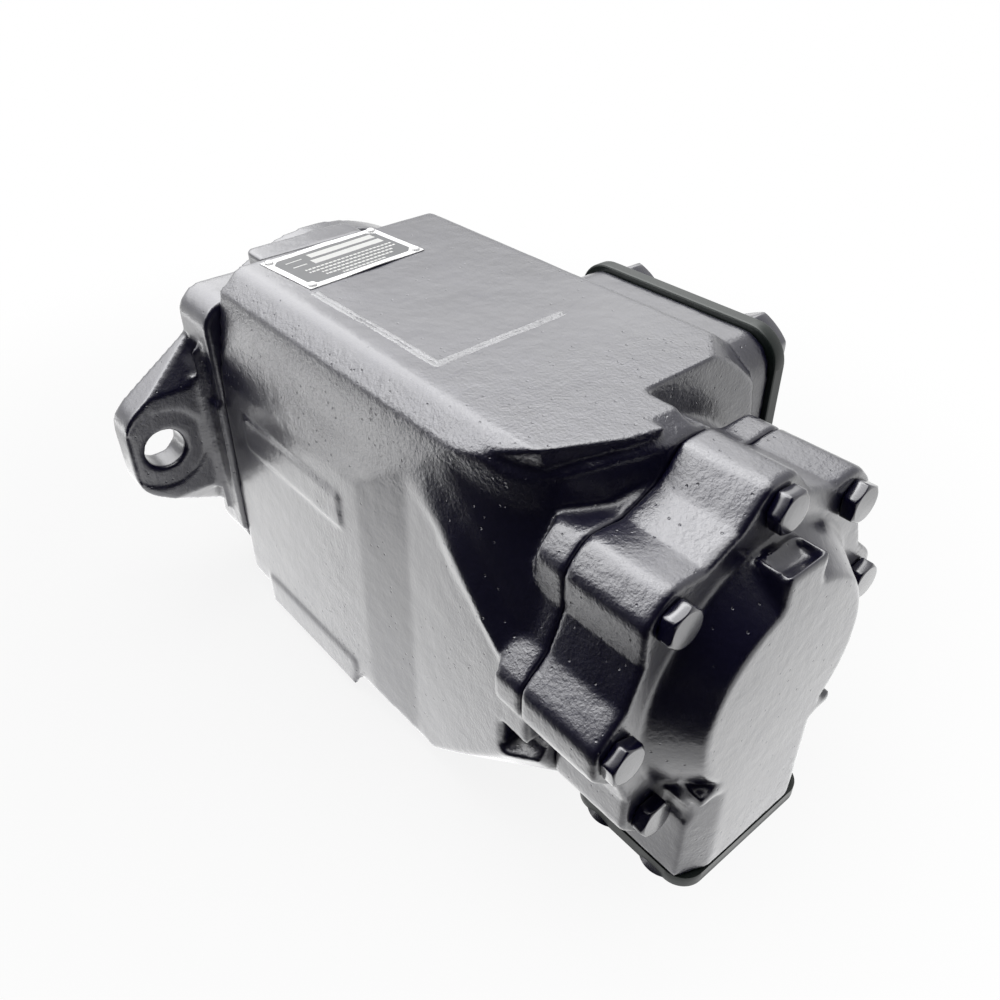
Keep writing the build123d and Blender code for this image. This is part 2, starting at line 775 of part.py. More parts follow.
outlet_1_cover = outlet_cover(
    outlet_1_x,
    outlet_1_long + 2 * outlet_cover_margin,
    outlet_1_short + 2 * outlet_cover_margin,
    outlet_1_long,
    outlet_1_short,
)
write(outlet_1_cover, "outlet_1_cover")
outlet_1_cover_screws = outlet_screws(outlet_1_x, outlet_1_long, outlet_1_short)
write(outlet_1_cover_screws, "outlet_1_cover_screws")
outlet_2_cover = outlet_cover(
    outlet_2_x,
    2 * (cap_face - outlet_2_x),
    2 * block_half_width,
    outlet_2_short,
    outlet_2_long,
)
write(outlet_2_cover, "outlet_2_cover")
outlet_2_cover_screws = outlet_screws(outlet_2_x, outlet_2_short, outlet_2_long)
write(outlet_2_cover_screws, "outlet_2_cover_screws")


# ================================================================ nameplate
name_plane = Plane.XY.offset(body_top).move(Location((plate_x, plate_y, 0)))
name_plane = name_plane.rotated((0, 0, plate_turn))
rivet_x = plate_width / 2 - rivet_inset
rivet_y = plate_length / 2 - rivet_inset

with BuildPart() as nameplate:
    with BuildSketch(name_plane):
        RectangleRounded(plate_width, plate_length, 1.0)
        with GridLocations(2 * rivet_x, 2 * rivet_y, 2, 2):
            Circle(rivet_r + locating, mode=Mode.SUBTRACT)
    extrude(amount=plate_sheet)
write(nameplate, "nameplate")

with BuildPart() as nameplate_rivets:
    with BuildSketch(name_plane):
        with GridLocations(2 * rivet_x, 2 * rivet_y, 2, 2):
            Circle(rivet_r)
    extrude(amount=plate_sheet)
    with BuildSketch(name_plane.offset(plate_sheet)):
        with GridLocations(2 * rivet_x, 2 * rivet_y, 2, 2):
            Circle(rivet_head_r)
    extrude(amount=rivet_r * 0.8, taper=35)
write(nameplate_rivets, "nameplate_rivets")


# ================================================================ shaft
front_spline_x = front_cam_x - 2
front_spline_end = front_side_x + 2
rear_spline_end = rear_plate_x + 2
relief_r = front_spline_d / 2 - spline_tooth_height
rear_relief_r = rear_spline_d / 2 - spline_tooth_height

with BuildPart() as shaft:
    with BuildSketch(Plane.XZ):
        with BuildLine():
            Polyline(
                (-drive_length, 0),
                (-drive_length, drive_d / 2 - 1.5),
                (-drive_length + 1.5, drive_d / 2),
                (drive_end, drive_d / 2),
                (drive_end, seal_land_d / 2),
                (front_spline_x, seal_land_d / 2),
                (front_spline_x, relief_r),
                (rear_cam_x, relief_r),
                (rear_cam_x, rear_relief_r),
                (journal_front, rear_relief_r),
                (journal_front, journal_d / 2),
                (shaft_end, journal_d / 2),
                (shaft_end, 0),
                close=True,
            )
        make_face()
    revolve(axis=Axis.X)
    with BuildSketch(at_x(front_spline_x)):
        spline_outline(front_spline_d)
    extrude(amount=front_spline_end - front_spline_x)
    with BuildSketch(at_x(rear_cam_x)):
        spline_outline(rear_spline_d)
    extrude(amount=rear_spline_end - rear_cam_x)
    with BuildSketch(at_x(bearing_end)):
        Circle(seal_land_d / 2 + 1)
        Circle(seal_land_d / 2 - ring_groove_depth, mode=Mode.SUBTRACT)
    extrude(amount=ring_thickness, mode=Mode.SUBTRACT)
    with BuildSketch(Plane.XY.offset(drive_d / 2 - key_width / 2)):
        with Locations((key_front + key_length / 2, 0)):
            SlotOverall(key_length, key_width)
    extrude(amount=key_width, mode=Mode.SUBTRACT)
write(shaft, "shaft")

with BuildPart() as shaft_key:
    with BuildSketch(Plane.XY.offset(drive_d / 2 - key_width / 2)):
        with Locations((key_front + key_length / 2, 0)):
            SlotOverall(key_length - 2 * vane_side, key_width - 2 * vane_side)
    extrude(amount=key_width)
write(shaft_key, "shaft_key")


# ================================================================ shaft seal, ball bearing and rear bush
with BuildPart() as shaft_seal:
    with BuildSketch(Plane.XZ):
        lip_r = seal_land_d / 2 + running
        with BuildLine():
            Polyline(
                (seal_front, seal_od / 2 - locating),
                (seal_front, lip_r + 1.5),
                (seal_front + 3, lip_r),
                (seal_front + 4.5, lip_r),
                (seal_front + 3, lip_r + 4),
                (seal_front + 3, seal_od / 2 - 2.5),
                (seal_front + seal_width, seal_od / 2 - 2.5),
                (seal_front + seal_width, seal_od / 2 - locating),
                close=True,
            )
        make_face()
    revolve(axis=Axis.X)
write(shaft_seal, "shaft_seal")


def race(inner_r, outer_r):
    """One ring of the ball bearing, with the groove that the balls run in."""
    with BuildPart() as ring:
        with BuildSketch(Plane.XZ):
            with Locations((bearing_middle, (inner_r + outer_r) / 2)):
                Rectangle(bearing_width, outer_r - inner_r)
            with Locations((bearing_middle, ball_circle_r)):
                Circle(ball_d / 2 + running, mode=Mode.SUBTRACT)
        revolve(axis=Axis.X)
    return ring


bearing_outer_race = race(ball_circle_r + race_gap, bearing_od / 2 - locating)
write(bearing_outer_race, "bearing_outer_race")
bearing_inner_race = race(seal_land_d / 2 + running, ball_circle_r - race_gap)
write(bearing_inner_race, "bearing_inner_race")

with BuildPart() as bearing_balls:
    for angle in range(ball_count):
        ball_y, ball_z = round_shaft(ball_circle_r, 360 * angle / ball_count)
        with Locations((bearing_middle, ball_y, ball_z)):
            Sphere(ball_d / 2)
write(bearing_balls, "bearing_balls")

with BuildPart() as bearing_cage:
    with BuildSketch(at_x(bearing_middle)):
        Circle(ball_circle_r + 1)
        Circle(ball_circle_r - 1, mode=Mode.SUBTRACT)
    extrude(amount=ball_d / 2 + 1.4, both=True)
    for angle in range(ball_count):
        with BuildSketch(Plane.XY.rotated((360 * angle / ball_count - 90, 0, 0))):
            with Locations((bearing_middle, 0)):
                Circle(ball_d / 2 + locating)
        extrude(amount=bearing_od / 2, mode=Mode.SUBTRACT)
write(bearing_cage, "bearing_cage")


def retaining_ring(x, inner_r, outer_r, mouth):
    """Flat spring ring with an open mouth at the top."""
    with BuildPart() as ring:
        with BuildSketch(at_x(x)):
            Circle(outer_r)
            Circle(inner_r, mode=Mode.SUBTRACT)
            with Locations((0, outer_r)):
                Rectangle(mouth, 2 * ring_height + 2, mode=Mode.SUBTRACT)
        extrude(amount=ring_thickness - 2 * locating)
    return ring


bearing_ring = retaining_ring(
    bearing_end + locating,
    bearing_od / 2 + ring_groove_depth - ring_height,
    bearing_od / 2 + ring_groove_depth - locating,
    ring_opening,
)
write(bearing_ring, "bearing_ring")
shaft_ring = retaining_ring(
    bearing_end + locating,
    seal_land_d / 2 - ring_groove_depth + running,
    seal_land_d / 2 - ring_groove_depth + ring_height,
    ring_opening / 3,
)
write(shaft_ring, "shaft_ring")

with BuildPart() as rear_bush:
    with BuildSketch(at_x(journal_front)):
        Circle(journal_d / 2 + bush_wall - running)
        Circle(journal_d / 2 + running, mode=Mode.SUBTRACT)
    extrude(amount=shaft_end - journal_front)
write(rear_bush, "rear_bush")


# ================================================================ pumping cartridges
@dataclass
class Cartridge:
    """Sizes of one cartridge; its parts stack along the shaft without gaps."""

    name: str
    plate_x: float
    cam_x: float
    side_x: float
    cam_width: float
    cam_r: float
    bore_r: float
    minor_r: float
    lift: float
    spline_d: float
    shaft_r: float

    def pin_r(self):
        """Circle of the dowels and screws, in the middle of the cam ring's thickest wall."""
        return (self.minor_r + self.cam_r) / 2

    def cam_radius(self, angle):
        """Radius of the cam at an angle from the middle of a minor dwell."""
        from_dwell = 90 - abs(90 - angle % 180)
        ramp = (from_dwell - minor_dwell) / (90 - minor_dwell - major_dwell)
        ramp = min(max(ramp, 0), 1)
        return self.minor_r + self.lift * ramp * ramp * (3 - 2 * ramp)

    def cam_point(self, angle):
        return round_shaft(self.cam_radius(angle), angle)


front = Cartridge(
    "front",
    plate_x=front_plate_x,
    cam_x=front_cam_x,
    side_x=front_side_x,
    cam_width=front_cam_width,
    cam_r=front_cam_od / 2,
    bore_r=front_bore_d / 2,
    minor_r=front_minor_r,
    lift=front_lift,
    spline_d=front_spline_d,
    shaft_r=seal_land_d / 2,
)
rear = Cartridge(
    "rear",
    plate_x=rear_plate_x,
    cam_x=rear_cam_x,
    side_x=rear_side_x,
    cam_width=rear_cam_width,
    cam_r=rear_cam_od / 2,
    bore_r=rear_bore_d / 2,
    minor_r=rear_minor_r,
    lift=rear_lift,
    spline_d=rear_spline_d,
    shaft_r=front_spline_d / 2,
)


def pin_places(cartridge):
    """The two dowels, half a turn apart."""
    return [round_shaft(cartridge.pin_r(), turn + pin_angle) for turn in (0, 180)]


def screw_places(cartridge):
    """The two cartridge screws, half a turn apart."""
    return [round_shaft(cartridge.pin_r(), turn - pin_angle) for turn in (0, 180)]


def kidney_ports(cartridge):
    """Four kidney-shaped ports over the ramps of the cam, added to the open sketch."""
    port_r = cartridge.minor_r + cartridge.lift / 2 - kidney_width / 2
    for quarter in (45, 135, 225, 315):
        with BuildLine(mode=Mode.PRIVATE) as kidney:
            CenterArc((0, 0), port_r, quarter - kidney_sweep / 2, kidney_sweep)
        SlotArc(kidney.edges()[0], kidney_width, mode=Mode.SUBTRACT)


def pressure_plate(cartridge):
    """Thick port plate, sealed in the bore, with a groove that collects the outlet flow."""
    outer_r = cartridge.bore_r - locating
    with BuildPart() as plate:
        with BuildSketch(at_x(cartridge.plate_x)):
            Circle(outer_r)
            Circle(cartridge.shaft_r + shaft_hole_play, mode=Mode.SUBTRACT)
            kidney_ports(cartridge)
            with Locations(*pin_places(cartridge), *screw_places(cartridge)):
                Circle(dowel_d / 2 + locating, mode=Mode.SUBTRACT)
        extrude(amount=plate_thickness)
        with BuildSketch(at_x(cartridge.plate_x + plate_thickness / 3)):
            Circle(outer_r + 1)
            Circle(outer_r - seal_ring_width, mode=Mode.SUBTRACT)
        extrude(amount=plate_thickness / 3, mode=Mode.SUBTRACT)
    return plate


def side_plate(cartridge):
    """Port plate on the suction side of the cam ring, counterbored for the cartridge screws."""
    with BuildPart() as plate:
        with BuildSketch(at_x(cartridge.side_x)):
            Circle(cartridge.cam_r)
            Circle(cartridge.spline_d / 2 + shaft_hole_play, mode=Mode.SUBTRACT)
            kidney_ports(cartridge)
            with Locations(*pin_places(cartridge), *screw_places(cartridge)):
                Circle(dowel_d / 2 + locating, mode=Mode.SUBTRACT)
        extrude(amount=side_plate_thickness)
        outward = 1 if cartridge.side_x > cartridge.cam_x else -1
        outer_face = cartridge.side_x + (side_plate_thickness if outward > 0 else 0)
        with BuildSketch(at_x(outer_face)):
            with Locations(*screw_places(cartridge)):
                Circle(cartridge_screw_d * 0.85 + locating)
        extrude(amount=-outward * (cartridge_screw_d + locating), mode=Mode.SUBTRACT)
    return plate


def cam_ring(cartridge):
    """Ring whose inner contour rises and falls twice a turn: dwells are arcs, ramps follow the formula."""
    with BuildPart() as ring:
        with BuildSketch(at_x(cartridge.cam_x)):
            Circle(cartridge.cam_r)
            with BuildLine():
                for half in (0, 180):
                    minor_end = half + minor_dwell
                    major_start = half + 90 - major_dwell
                    major_end = half + 90 + major_dwell
                    next_minor = half + 180 - minor_dwell
                    ThreePointArc(
                        cartridge.cam_point(half - minor_dwell),
                        cartridge.cam_point(half),
                        cartridge.cam_point(minor_end),
                    )
                    ramp_steps = [minor_end + (major_start - minor_end) * step / 6 for step in range(7)]
                    Spline(*[cartridge.cam_point(angle) for angle in ramp_steps])
                    ThreePointArc(
                        cartridge.cam_point(major_start),
                        cartridge.cam_point(half + 90),
                        cartridge.cam_point(major_end),
                    )
                    ramp_steps = [major_end + (next_minor - major_end) * step / 6 for step in range(7)]
                    Spline(*[cartridge.cam_point(angle) for angle in ramp_steps])
            make_face(mode=Mode.SUBTRACT)
            with Locations(*pin_places(cartridge), *screw_places(cartridge)):
                Circle(dowel_d / 2 + locating, mode=Mode.SUBTRACT)
        extrude(amount=cartridge.cam_width)
    return ring


def rotor(cartridge):
    """Slotted rotor on the splined shaft, with a round relief at the foot of each vane slot."""
    rotor_r = cartridge.minor_r - rotor_gap
    slot_foot = cartridge.minor_r - vane_retreat - vane_height - vane_side
    with BuildPart() as body:
        with BuildSketch(at_x(cartridge.cam_x + running)):
            Circle(rotor_r)
            for vane in range(vane_count):
                turn = 360 * vane / vane_count
                with Locations(Location((0, 0, 0), (0, 0, turn))):
                    with Locations((slot_foot, 0)):
                        Rectangle(
                            2 * vane_height,
                            vane_thickness + 2 * vane_side,
                            align=(Align.MIN, Align.CENTER),
                            mode=Mode.SUBTRACT,
                        )
                        Circle(under_vane_r, mode=Mode.SUBTRACT)
            with BuildSketch(mode=Mode.PRIVATE) as spline_hole:
                spline_outline(cartridge.spline_d, play=running)
            add(spline_hole.sketch, mode=Mode.SUBTRACT)
        extrude(amount=cartridge.cam_width - 2 * running)
    return body


def vanes(cartridge, places):
    """Vanes at rest inside the smallest radius of the cam, in the named slots."""
    foot = cartridge.minor_r - vane_retreat - vane_height
    with BuildPart() as blades:
        with BuildSketch(at_x(cartridge.cam_x + 2 * running)):
            for vane in places:
                turn = 360 * vane / vane_count
                with Locations(Location((0, 0, 0), (0, 0, turn))):
                    with Locations((foot, 0)):
                        Rectangle(vane_height, vane_thickness, align=(Align.MIN, Align.CENTER))
        extrude(amount=cartridge.cam_width - 4 * running)
    return blades


def dowels(cartridge):
    """Dowel pins that line up the plates and the cam ring."""
    start = min(cartridge.plate_x, cartridge.side_x)
    with BuildPart() as pins:
        with BuildSketch(at_x(start + 1)):
            with Locations(*pin_places(cartridge)):
                Circle(dowel_d / 2)
        extrude(amount=plate_thickness + cartridge.cam_width + side_plate_thickness - 2)
    return pins


def cartridge_screws(cartridge):
    """Socket screws that hold the cartridge together, heads sunk in the side plate."""
    outward = 1 if cartridge.side_x > cartridge.cam_x else -1
    outer_face = cartridge.side_x + (side_plate_thickness if outward > 0 else 0)
    with BuildPart() as screws:
        with BuildSketch(at_x(outer_face)):
            with Locations(*screw_places(cartridge)):
                Circle(cartridge_screw_d * 0.85)
        extrude(amount=-outward * cartridge_screw_d)
        with BuildSketch(at_x(outer_face)):
            with Locations(*screw_places(cartridge)):
                Circle(cartridge_screw_d / 2)
        extrude(amount=-outward * (side_plate_thickness + cartridge.cam_width + plate_thickness - 1))
    return screws


def plate_seals(cartridge):
    """Two seal rings at the edges of the pressure plate's collecting groove."""
    outer_r = cartridge.bore_r - locating
    groove = plate_thickness / 3
    start = cartridge.plate_x + groove
    with BuildPart() as rings:
        for x in (start + locating, start + groove - seal_ring_width / 2 - locating):
            with BuildSketch(at_x(x)):
                Circle(outer_r)
                Circle(outer_r - seal_ring_width + locating, mode=Mode.SUBTRACT)
            extrude(amount=seal_ring_width / 2)
    return rings


for cartridge in (front, rear):
    name = cartridge.name
    write(pressure_plate(cartridge), f"{name}_pressure_plate")
    write(side_plate(cartridge), f"{name}_side_plate")
    write(cam_ring(cartridge), f"{name}_cam_ring")
    write(rotor(cartridge), f"{name}_rotor")
    write(dowels(cartridge), f"{name}_dowels")
    write(cartridge_screws(cartridge), f"{name}_cartridge_screws")
    write(plate_seals(cartridge), f"{name}_plate_seals")
    dwelling = (0, vane_count // 2)
    write(vanes(cartridge, dwelling), f"{name}_dwell_vanes")
    for vane in range(vane_count):
        if vane not in dwelling:
            write(vanes(cartridge, [vane]), f"{name}_vane_{vane}")
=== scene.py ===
import json
import math

import bmesh
import bpy
from mathutils import Matrix, Vector, noise


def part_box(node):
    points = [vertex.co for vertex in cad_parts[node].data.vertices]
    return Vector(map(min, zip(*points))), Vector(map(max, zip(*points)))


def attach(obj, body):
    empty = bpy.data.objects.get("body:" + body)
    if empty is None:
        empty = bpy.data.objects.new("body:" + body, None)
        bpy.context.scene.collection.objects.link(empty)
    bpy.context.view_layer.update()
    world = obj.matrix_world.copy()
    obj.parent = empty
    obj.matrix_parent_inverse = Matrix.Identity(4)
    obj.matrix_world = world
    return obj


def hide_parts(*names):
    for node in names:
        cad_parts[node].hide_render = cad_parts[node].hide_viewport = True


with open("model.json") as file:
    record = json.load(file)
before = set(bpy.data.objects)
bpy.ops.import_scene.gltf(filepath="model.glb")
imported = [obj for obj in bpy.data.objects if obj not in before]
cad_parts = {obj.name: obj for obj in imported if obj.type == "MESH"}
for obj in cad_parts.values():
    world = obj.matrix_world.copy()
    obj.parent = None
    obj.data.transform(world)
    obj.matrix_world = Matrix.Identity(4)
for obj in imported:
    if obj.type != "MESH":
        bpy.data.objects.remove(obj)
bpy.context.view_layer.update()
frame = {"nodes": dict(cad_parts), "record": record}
nodes = frame["nodes"]
scene = bpy.context.scene

# ---------------------------------------------------------------- paper and room
# The pump stands on its outlet covers on a roll of matt white paper, in a white room. The paper takes
# a soft shadow close to the pump and is plain white further out.
PAPER = "#F4F4F4"
paper_reach = 8.0
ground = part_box("outlet_2_cover")[0][2]
glow_close, glow_far = 0.86, 1.0
glow_starts, glow_ends = 0.12, 0.42
room_light = 0.3


def linear(code):
    """sRGB hex to the linear colour that shaders take."""
    parts = [int(code[i : i + 2], 16) / 255 for i in (1, 3, 5)]
    return tuple(c / 12.92 if c <= 0.04045 else ((c + 0.055) / 1.055) ** 2.4 for c in parts) + (1.0,)


def add(tree, kind, settings=(), inputs=()):
    """Adds a shader node: settings are its properties, inputs its sockets, each a value or an output."""
    made = tree.nodes.new(kind)
    for key, value in dict(settings).items():
        setattr(made, key, value)
    for key, value in dict(inputs).items():
        if isinstance(value, bpy.types.NodeSocket):
            tree.links.new(value, made.inputs[key])
        else:
            made.inputs[key].default_value = value
    return made


def start_material(name):
    """Empty node material, with its tree and its output."""
    made = bpy.data.materials.new(name)
    made.use_nodes = True
    made.node_tree.nodes.clear()
    return made, made.node_tree, made.node_tree.nodes.new("ShaderNodeOutputMaterial")


def new_piece(name, build, *materials):
    """Turns a bmesh into an object of the scene, smooth shaded, with its materials."""
    mesh = bpy.data.meshes.new(name)
    build.to_mesh(mesh)
    build.free()
    piece = bpy.data.objects.new(name, mesh)
    scene.collection.objects.link(piece)
    for material in materials:
        mesh.materials.append(material)
    mesh.shade_smooth()
    return piece


def seen_directly(tree):
    """1 for rays that show the background itself: camera, glossy and transmission rays."""
    paths = add(tree, "ShaderNodeLightPath").outputs
    seen = paths["Is Camera Ray"]
    for path in ("Is Glossy Ray", "Is Transmission Ray"):
        seen = add(tree, "ShaderNodeMath", {"operation": "MAXIMUM"}, {0: seen, 1: paths[path]}).outputs[0]
    return seen


# Matt paper: it scatters all light evenly, so nothing is mirrored in it.
paper, tree, output = start_material("white_paper")
where = add(tree, "ShaderNodeTexCoord").outputs["Object"]
away = add(tree, "ShaderNodeVectorMath", {"operation": "LENGTH"}, {0: where})
glow_share = add(
    tree,
    "ShaderNodeMapRange",
    {"interpolation_type": "SMOOTHSTEP"},
    {
        "Value": away.outputs["Value"],
        "From Min": glow_starts,
        "From Max": glow_ends,
        "To Min": glow_close,
        "To Max": glow_far,
    },
)
share = add(
    tree, "ShaderNodeMath", {"operation": "MULTIPLY"}, {0: seen_directly(tree), 1: glow_share.outputs[0]}
)
lit = add(tree, "ShaderNodeBsdfDiffuse", (), {"Color": linear(PAPER)})
glow = add(tree, "ShaderNodeEmission", (), {"Strength": 1.0})
surface = add(
    tree, "ShaderNodeMixShader", (), {0: share.outputs[0], 1: lit.outputs[0], 2: glow.outputs[0]}
)
tree.links.new(surface.outputs[0], output.inputs["Surface"])
build = bmesh.new()
bmesh.ops.create_grid(build, x_segments=2, y_segments=2, size=paper_reach)
floor = new_piece("floor", build, paper)
floor.location.z = ground

world = bpy.data.worlds.new("white_room")
scene.world = world
world.use_nodes = True
tree = world.node_tree
tree.nodes.clear()
output = tree.nodes.new("ShaderNodeOutputWorld")
room = add(tree, "ShaderNodeBackground", (), {"Strength": room_light})
white = add(tree, "ShaderNodeBackground", (), {"Strength": 1.0})
surface = add(
    tree, "ShaderNodeMixShader", (), {0: seen_directly(tree), 1: room.outputs[0], 2: white.outputs[0]}
)
tree.links.new(surface.outputs[0], output.inputs["Surface"])

# ---------------------------------------------------------------- lamps
# Two soft lamps, one overhead and one high on the left. A brightness of 1 is that of white paper in
# full light.
middle = Vector((0.11, 0.0, 0.0))


def soft_lamp(name, centre, aim, size, brightness):
    """Rectangular lamp of an even brightness, out of the camera's sight."""
    lamp = bpy.data.lights.new(name, "AREA")
    lamp.shape = "RECTANGLE"
    lamp.size, lamp.size_y = size
    lamp.energy = brightness * math.pi * size[0] * size[1]
    panel = bpy.data.objects.new(name, lamp)
    scene.collection.objects.link(panel)
    panel.location = centre
    panel.rotation_euler = (Vector(aim) - Vector(centre)).to_track_quat("-Z", "Y").to_euler()
    panel.visible_camera = False


soft_lamp("lamp_overhead", (0.03, 0.06, 0.98), aim=(0.08, 0.02, 0.0), size=(0.85, 0.7), brightness=3.0)
soft_lamp("lamp_left", (-0.75, -0.55, 0.7), aim=middle, size=(0.5, 0.4), brightness=2.4)

# ---------------------------------------------------------------- reflection boards
# Glossy enamel shows what stands round it, so pale boards stand where the flanks mirror them and black
# ones where the scoop and the dome do. They have faded edges, and only reflections show them.
board_lift = 0.001


def paper_at(lift):
    """Gives places above the paper, from hundredths of a metre."""
    return lambda x, y: Vector((x / 100, y / 100, ground + lift))


def wall_at(reach):
    """Gives places on the wall of the room at a reach, from heading and rise in degrees."""

    def place(heading, rise):
        heading, rise = math.radians(heading), math.radians(rise)
        level = math.cos(rise)
        return middle + Vector((math.cos(heading) * level, math.sin(heading) * level, math.sin(rise))) * reach

    return place


def past(value, start, end):
    """0 before start and 1 after end, smoothly."""
    share = min(max((value - start) / (end - start), 0.0), 1.0)
    return share * share * (3 - 2 * share)


def edge_distance(spot, outline):
    """Distance from a flat point to an outline, negative outside it."""
    inside = False
    nearest = math.inf
    for one, two in zip(outline, outline[1:] + outline[:1], strict=True):
        one, two = Vector(one), Vector(two)
        share = min(max((spot - one).dot(two - one) / (two - one).length_squared, 0.0), 1.0)
        nearest = min(nearest, (one.lerp(two, share) - spot).length)
        if (one.y > spot.y) != (two.y > spot.y):
            if spot.x < one.x + (spot.y - one.y) / (two.y - one.y) * (two.x - one.x):
                inside = not inside
    return nearest if inside else -nearest


def board(name, place, outline, step, fade, brightness, slope=0.0, most=6.0):
    """Board that only reflections show. Slope adds brightness upward, to most. Fade is its edge's width."""
    made, tree, output = start_material(name)
    cover = add(tree, "ShaderNodeAttribute", {"attribute_name": "cover"}).outputs["Fac"]
    shine = add(tree, "ShaderNodeAttribute", {"attribute_name": "shine"}).outputs["Fac"]
    clear = add(tree, "ShaderNodeBsdfTransparent")
    lit = add(tree, "ShaderNodeEmission", (), {"Strength": shine})
    surface = add(tree, "ShaderNodeMixShader", (), {0: cover, 1: clear.outputs[0], 2: lit.outputs[0]})
    tree.links.new(surface.outputs[0], output.inputs["Surface"])
    left, right = min(u for u, v in outline), max(u for u, v in outline)
    low, high = min(v for u, v in outline), max(v for u, v in outline)
    columns, rows = math.ceil((right - left) / step), math.ceil((high - low) / step)
    build = bmesh.new()
    cover_layer = build.verts.layers.float.new("cover")
    shine_layer = build.verts.layers.float.new("shine")
    grid = []
    for i in range(columns + 1):
        line = []
        for j in range(rows + 1):
            u, v = left + i * step, low + j * step
            vertex = build.verts.new(place(u, v))
            vertex[cover_layer] = past(edge_distance(Vector((u, v)), outline), 0.0, fade)
            vertex[shine_layer] = min(max(brightness + slope * (v - low), 0.0), most)
            line.append(vertex)
        grid.append(line)
    for i in range(columns):
        for j in range(rows):
            corners = (grid[i][j], grid[i + 1][j], grid[i + 1][j + 1], grid[i][j + 1])
            if any(corner[cover_layer] > 0 for corner in corners):
                build.faces.new(corners)
    bmesh.ops.delete(build, geom=[v for v in build.verts if not v.link_faces], context="VERTS")
    piece = new_piece(name, build, made)
    for kind in ("camera", "diffuse", "shadow", "transmission", "volume_scatter"):
        setattr(piece, f"visible_{kind}", False)


def upright(left, low, right, high):
    """Outline of a rectangular board."""
    return [(left, low), (right, low), (right, high), (left, high)]


# Boards on the wall, each a little nearer than those that it overlaps, so that none is hidden.
far_wall, mid_wall, near_wall, front_wall = wall_at(1.2), wall_at(1.15), wall_at(1.1), wall_at(1.05)
board(
    "board_behind", far_wall, upright(128, 14, 160, 74), step=1.5, fade=6.0, brightness=0.1, slope=0.115
)
board(
    "board_behind_right", mid_wall, upright(102, 15, 136, 74), step=1.5, fade=6.0, brightness=0.8, slope=0.09
)
board("board_left", mid_wall, upright(154, 14, 250, 74), step=1.5, fade=6.0, brightness=1.9, slope=0.09)
board("board_high_left", near_wall, upright(214, 33, 246, 56), step=1.0, fade=3.0, brightness=6.5, most=7.0)

# Boards on the paper: the first lies flat on it and the others over its edge.
on_paper, over_paper = paper_at(board_lift), paper_at(2 * board_lift)
by_flank = [(-13, -4), (25, -4), (24, -12), (3, -22), (-13, -22)]
far_left = [(-50, -24), (-2, -23), (-13, -42), (-50, -46)]
board("board_by_flank", on_paper, by_flank, step=0.5, fade=1.5, brightness=1.75)
board("board_by_end", over_paper, upright(24, -4, 37, 22), step=1.0, fade=2.0, brightness=1.4)
board("board_far_left", over_paper, far_left, step=1.0, fade=3.0, brightness=3.6)

black_paper = [
    (40, -2),
    (30, -9),
    (24, -13),
    (18, -14),
    (10, -17),
    (2, -21),
    (-12, -41),
    (-60, -47),
    (-60, -120),
    (90, -120),
    (90, -2),
]
black_wall = [
    (-124, -12),
    (24, -12),
    (24, 50),
    (-12, 56),
    (-40, 64),
    (-66, 66),
    (-76, 50),
    (-96, 36),
    (-124, 26),
]
board("black_board_on_paper", over_paper, black_paper, step=1.0, fade=1.5, brightness=0.0)
board("black_board_standing", front_wall, black_wall, step=1.5, fade=5.0, brightness=0.0)

# ---------------------------------------------------------------- camera
# Held in the hand behind and above the pump, on its left, with a lens of medium width. Angles are in
# degrees and the lens in mm on a sensor 36 mm wide.
camera_place = (0.35732, -0.19171, 0.21441)
camera_heading, camera_pitch, camera_roll = 50.04, 36.54, -0.49
camera_lens, camera_sensor = 32.86, 36.0
heading, pitch, roll = (math.radians(angle) for angle in (camera_heading, camera_pitch, camera_roll))
forward = Vector(
    (-math.sin(heading) * math.cos(pitch), math.cos(heading) * math.cos(pitch), -math.sin(pitch))
)
level = forward.cross(Vector((0, 0, 1))).normalized()
up = level.cross(forward)
right = level * math.cos(roll) + up * math.sin(roll)
above = up * math.cos(roll) - level * math.sin(roll)
camera = bpy.data.objects.new("camera", bpy.data.cameras.new("camera"))
scene.collection.objects.link(camera)
scene.camera = camera
camera.matrix_world = Matrix((right, above, -forward)).transposed().to_4x4()
camera.location = camera_place
camera.data.sensor_width = camera_sensor
camera.data.lens = camera_lens
camera.data.clip_start = 0.01
scene.view_settings.view_transform = "Standard"

# ---------------------------------------------------------------- main housing
# One casting of grey iron that holds both cartridges, from a sand mould. It is sprayed after assembly
# with glossy black enamel, which fills the sand's texture but follows its larger grains. Sand grains
# of 0.3 to 0.5 mm would be too fine to show, so they are drawn coarser.
ENAMEL = "#0A0724"
ENAMEL_THIN = "#12102E"
enamel_ior = 1.62
coat_ior = 1.5
grain_mm = 1.3
peel_mm = 5.0
pit_spacing_mm = 3.4
pit_edge, pit_floor = 0.17, 0.05
pits_least, pits_more = 0.25, 0.5
grain_least = 0.14
wave_mm = 24.0
wave_low, wave_high = 0.3, 0.7
sheen_low, sheen_high = 0.8, 1.25
pigment_dullness = 1.6


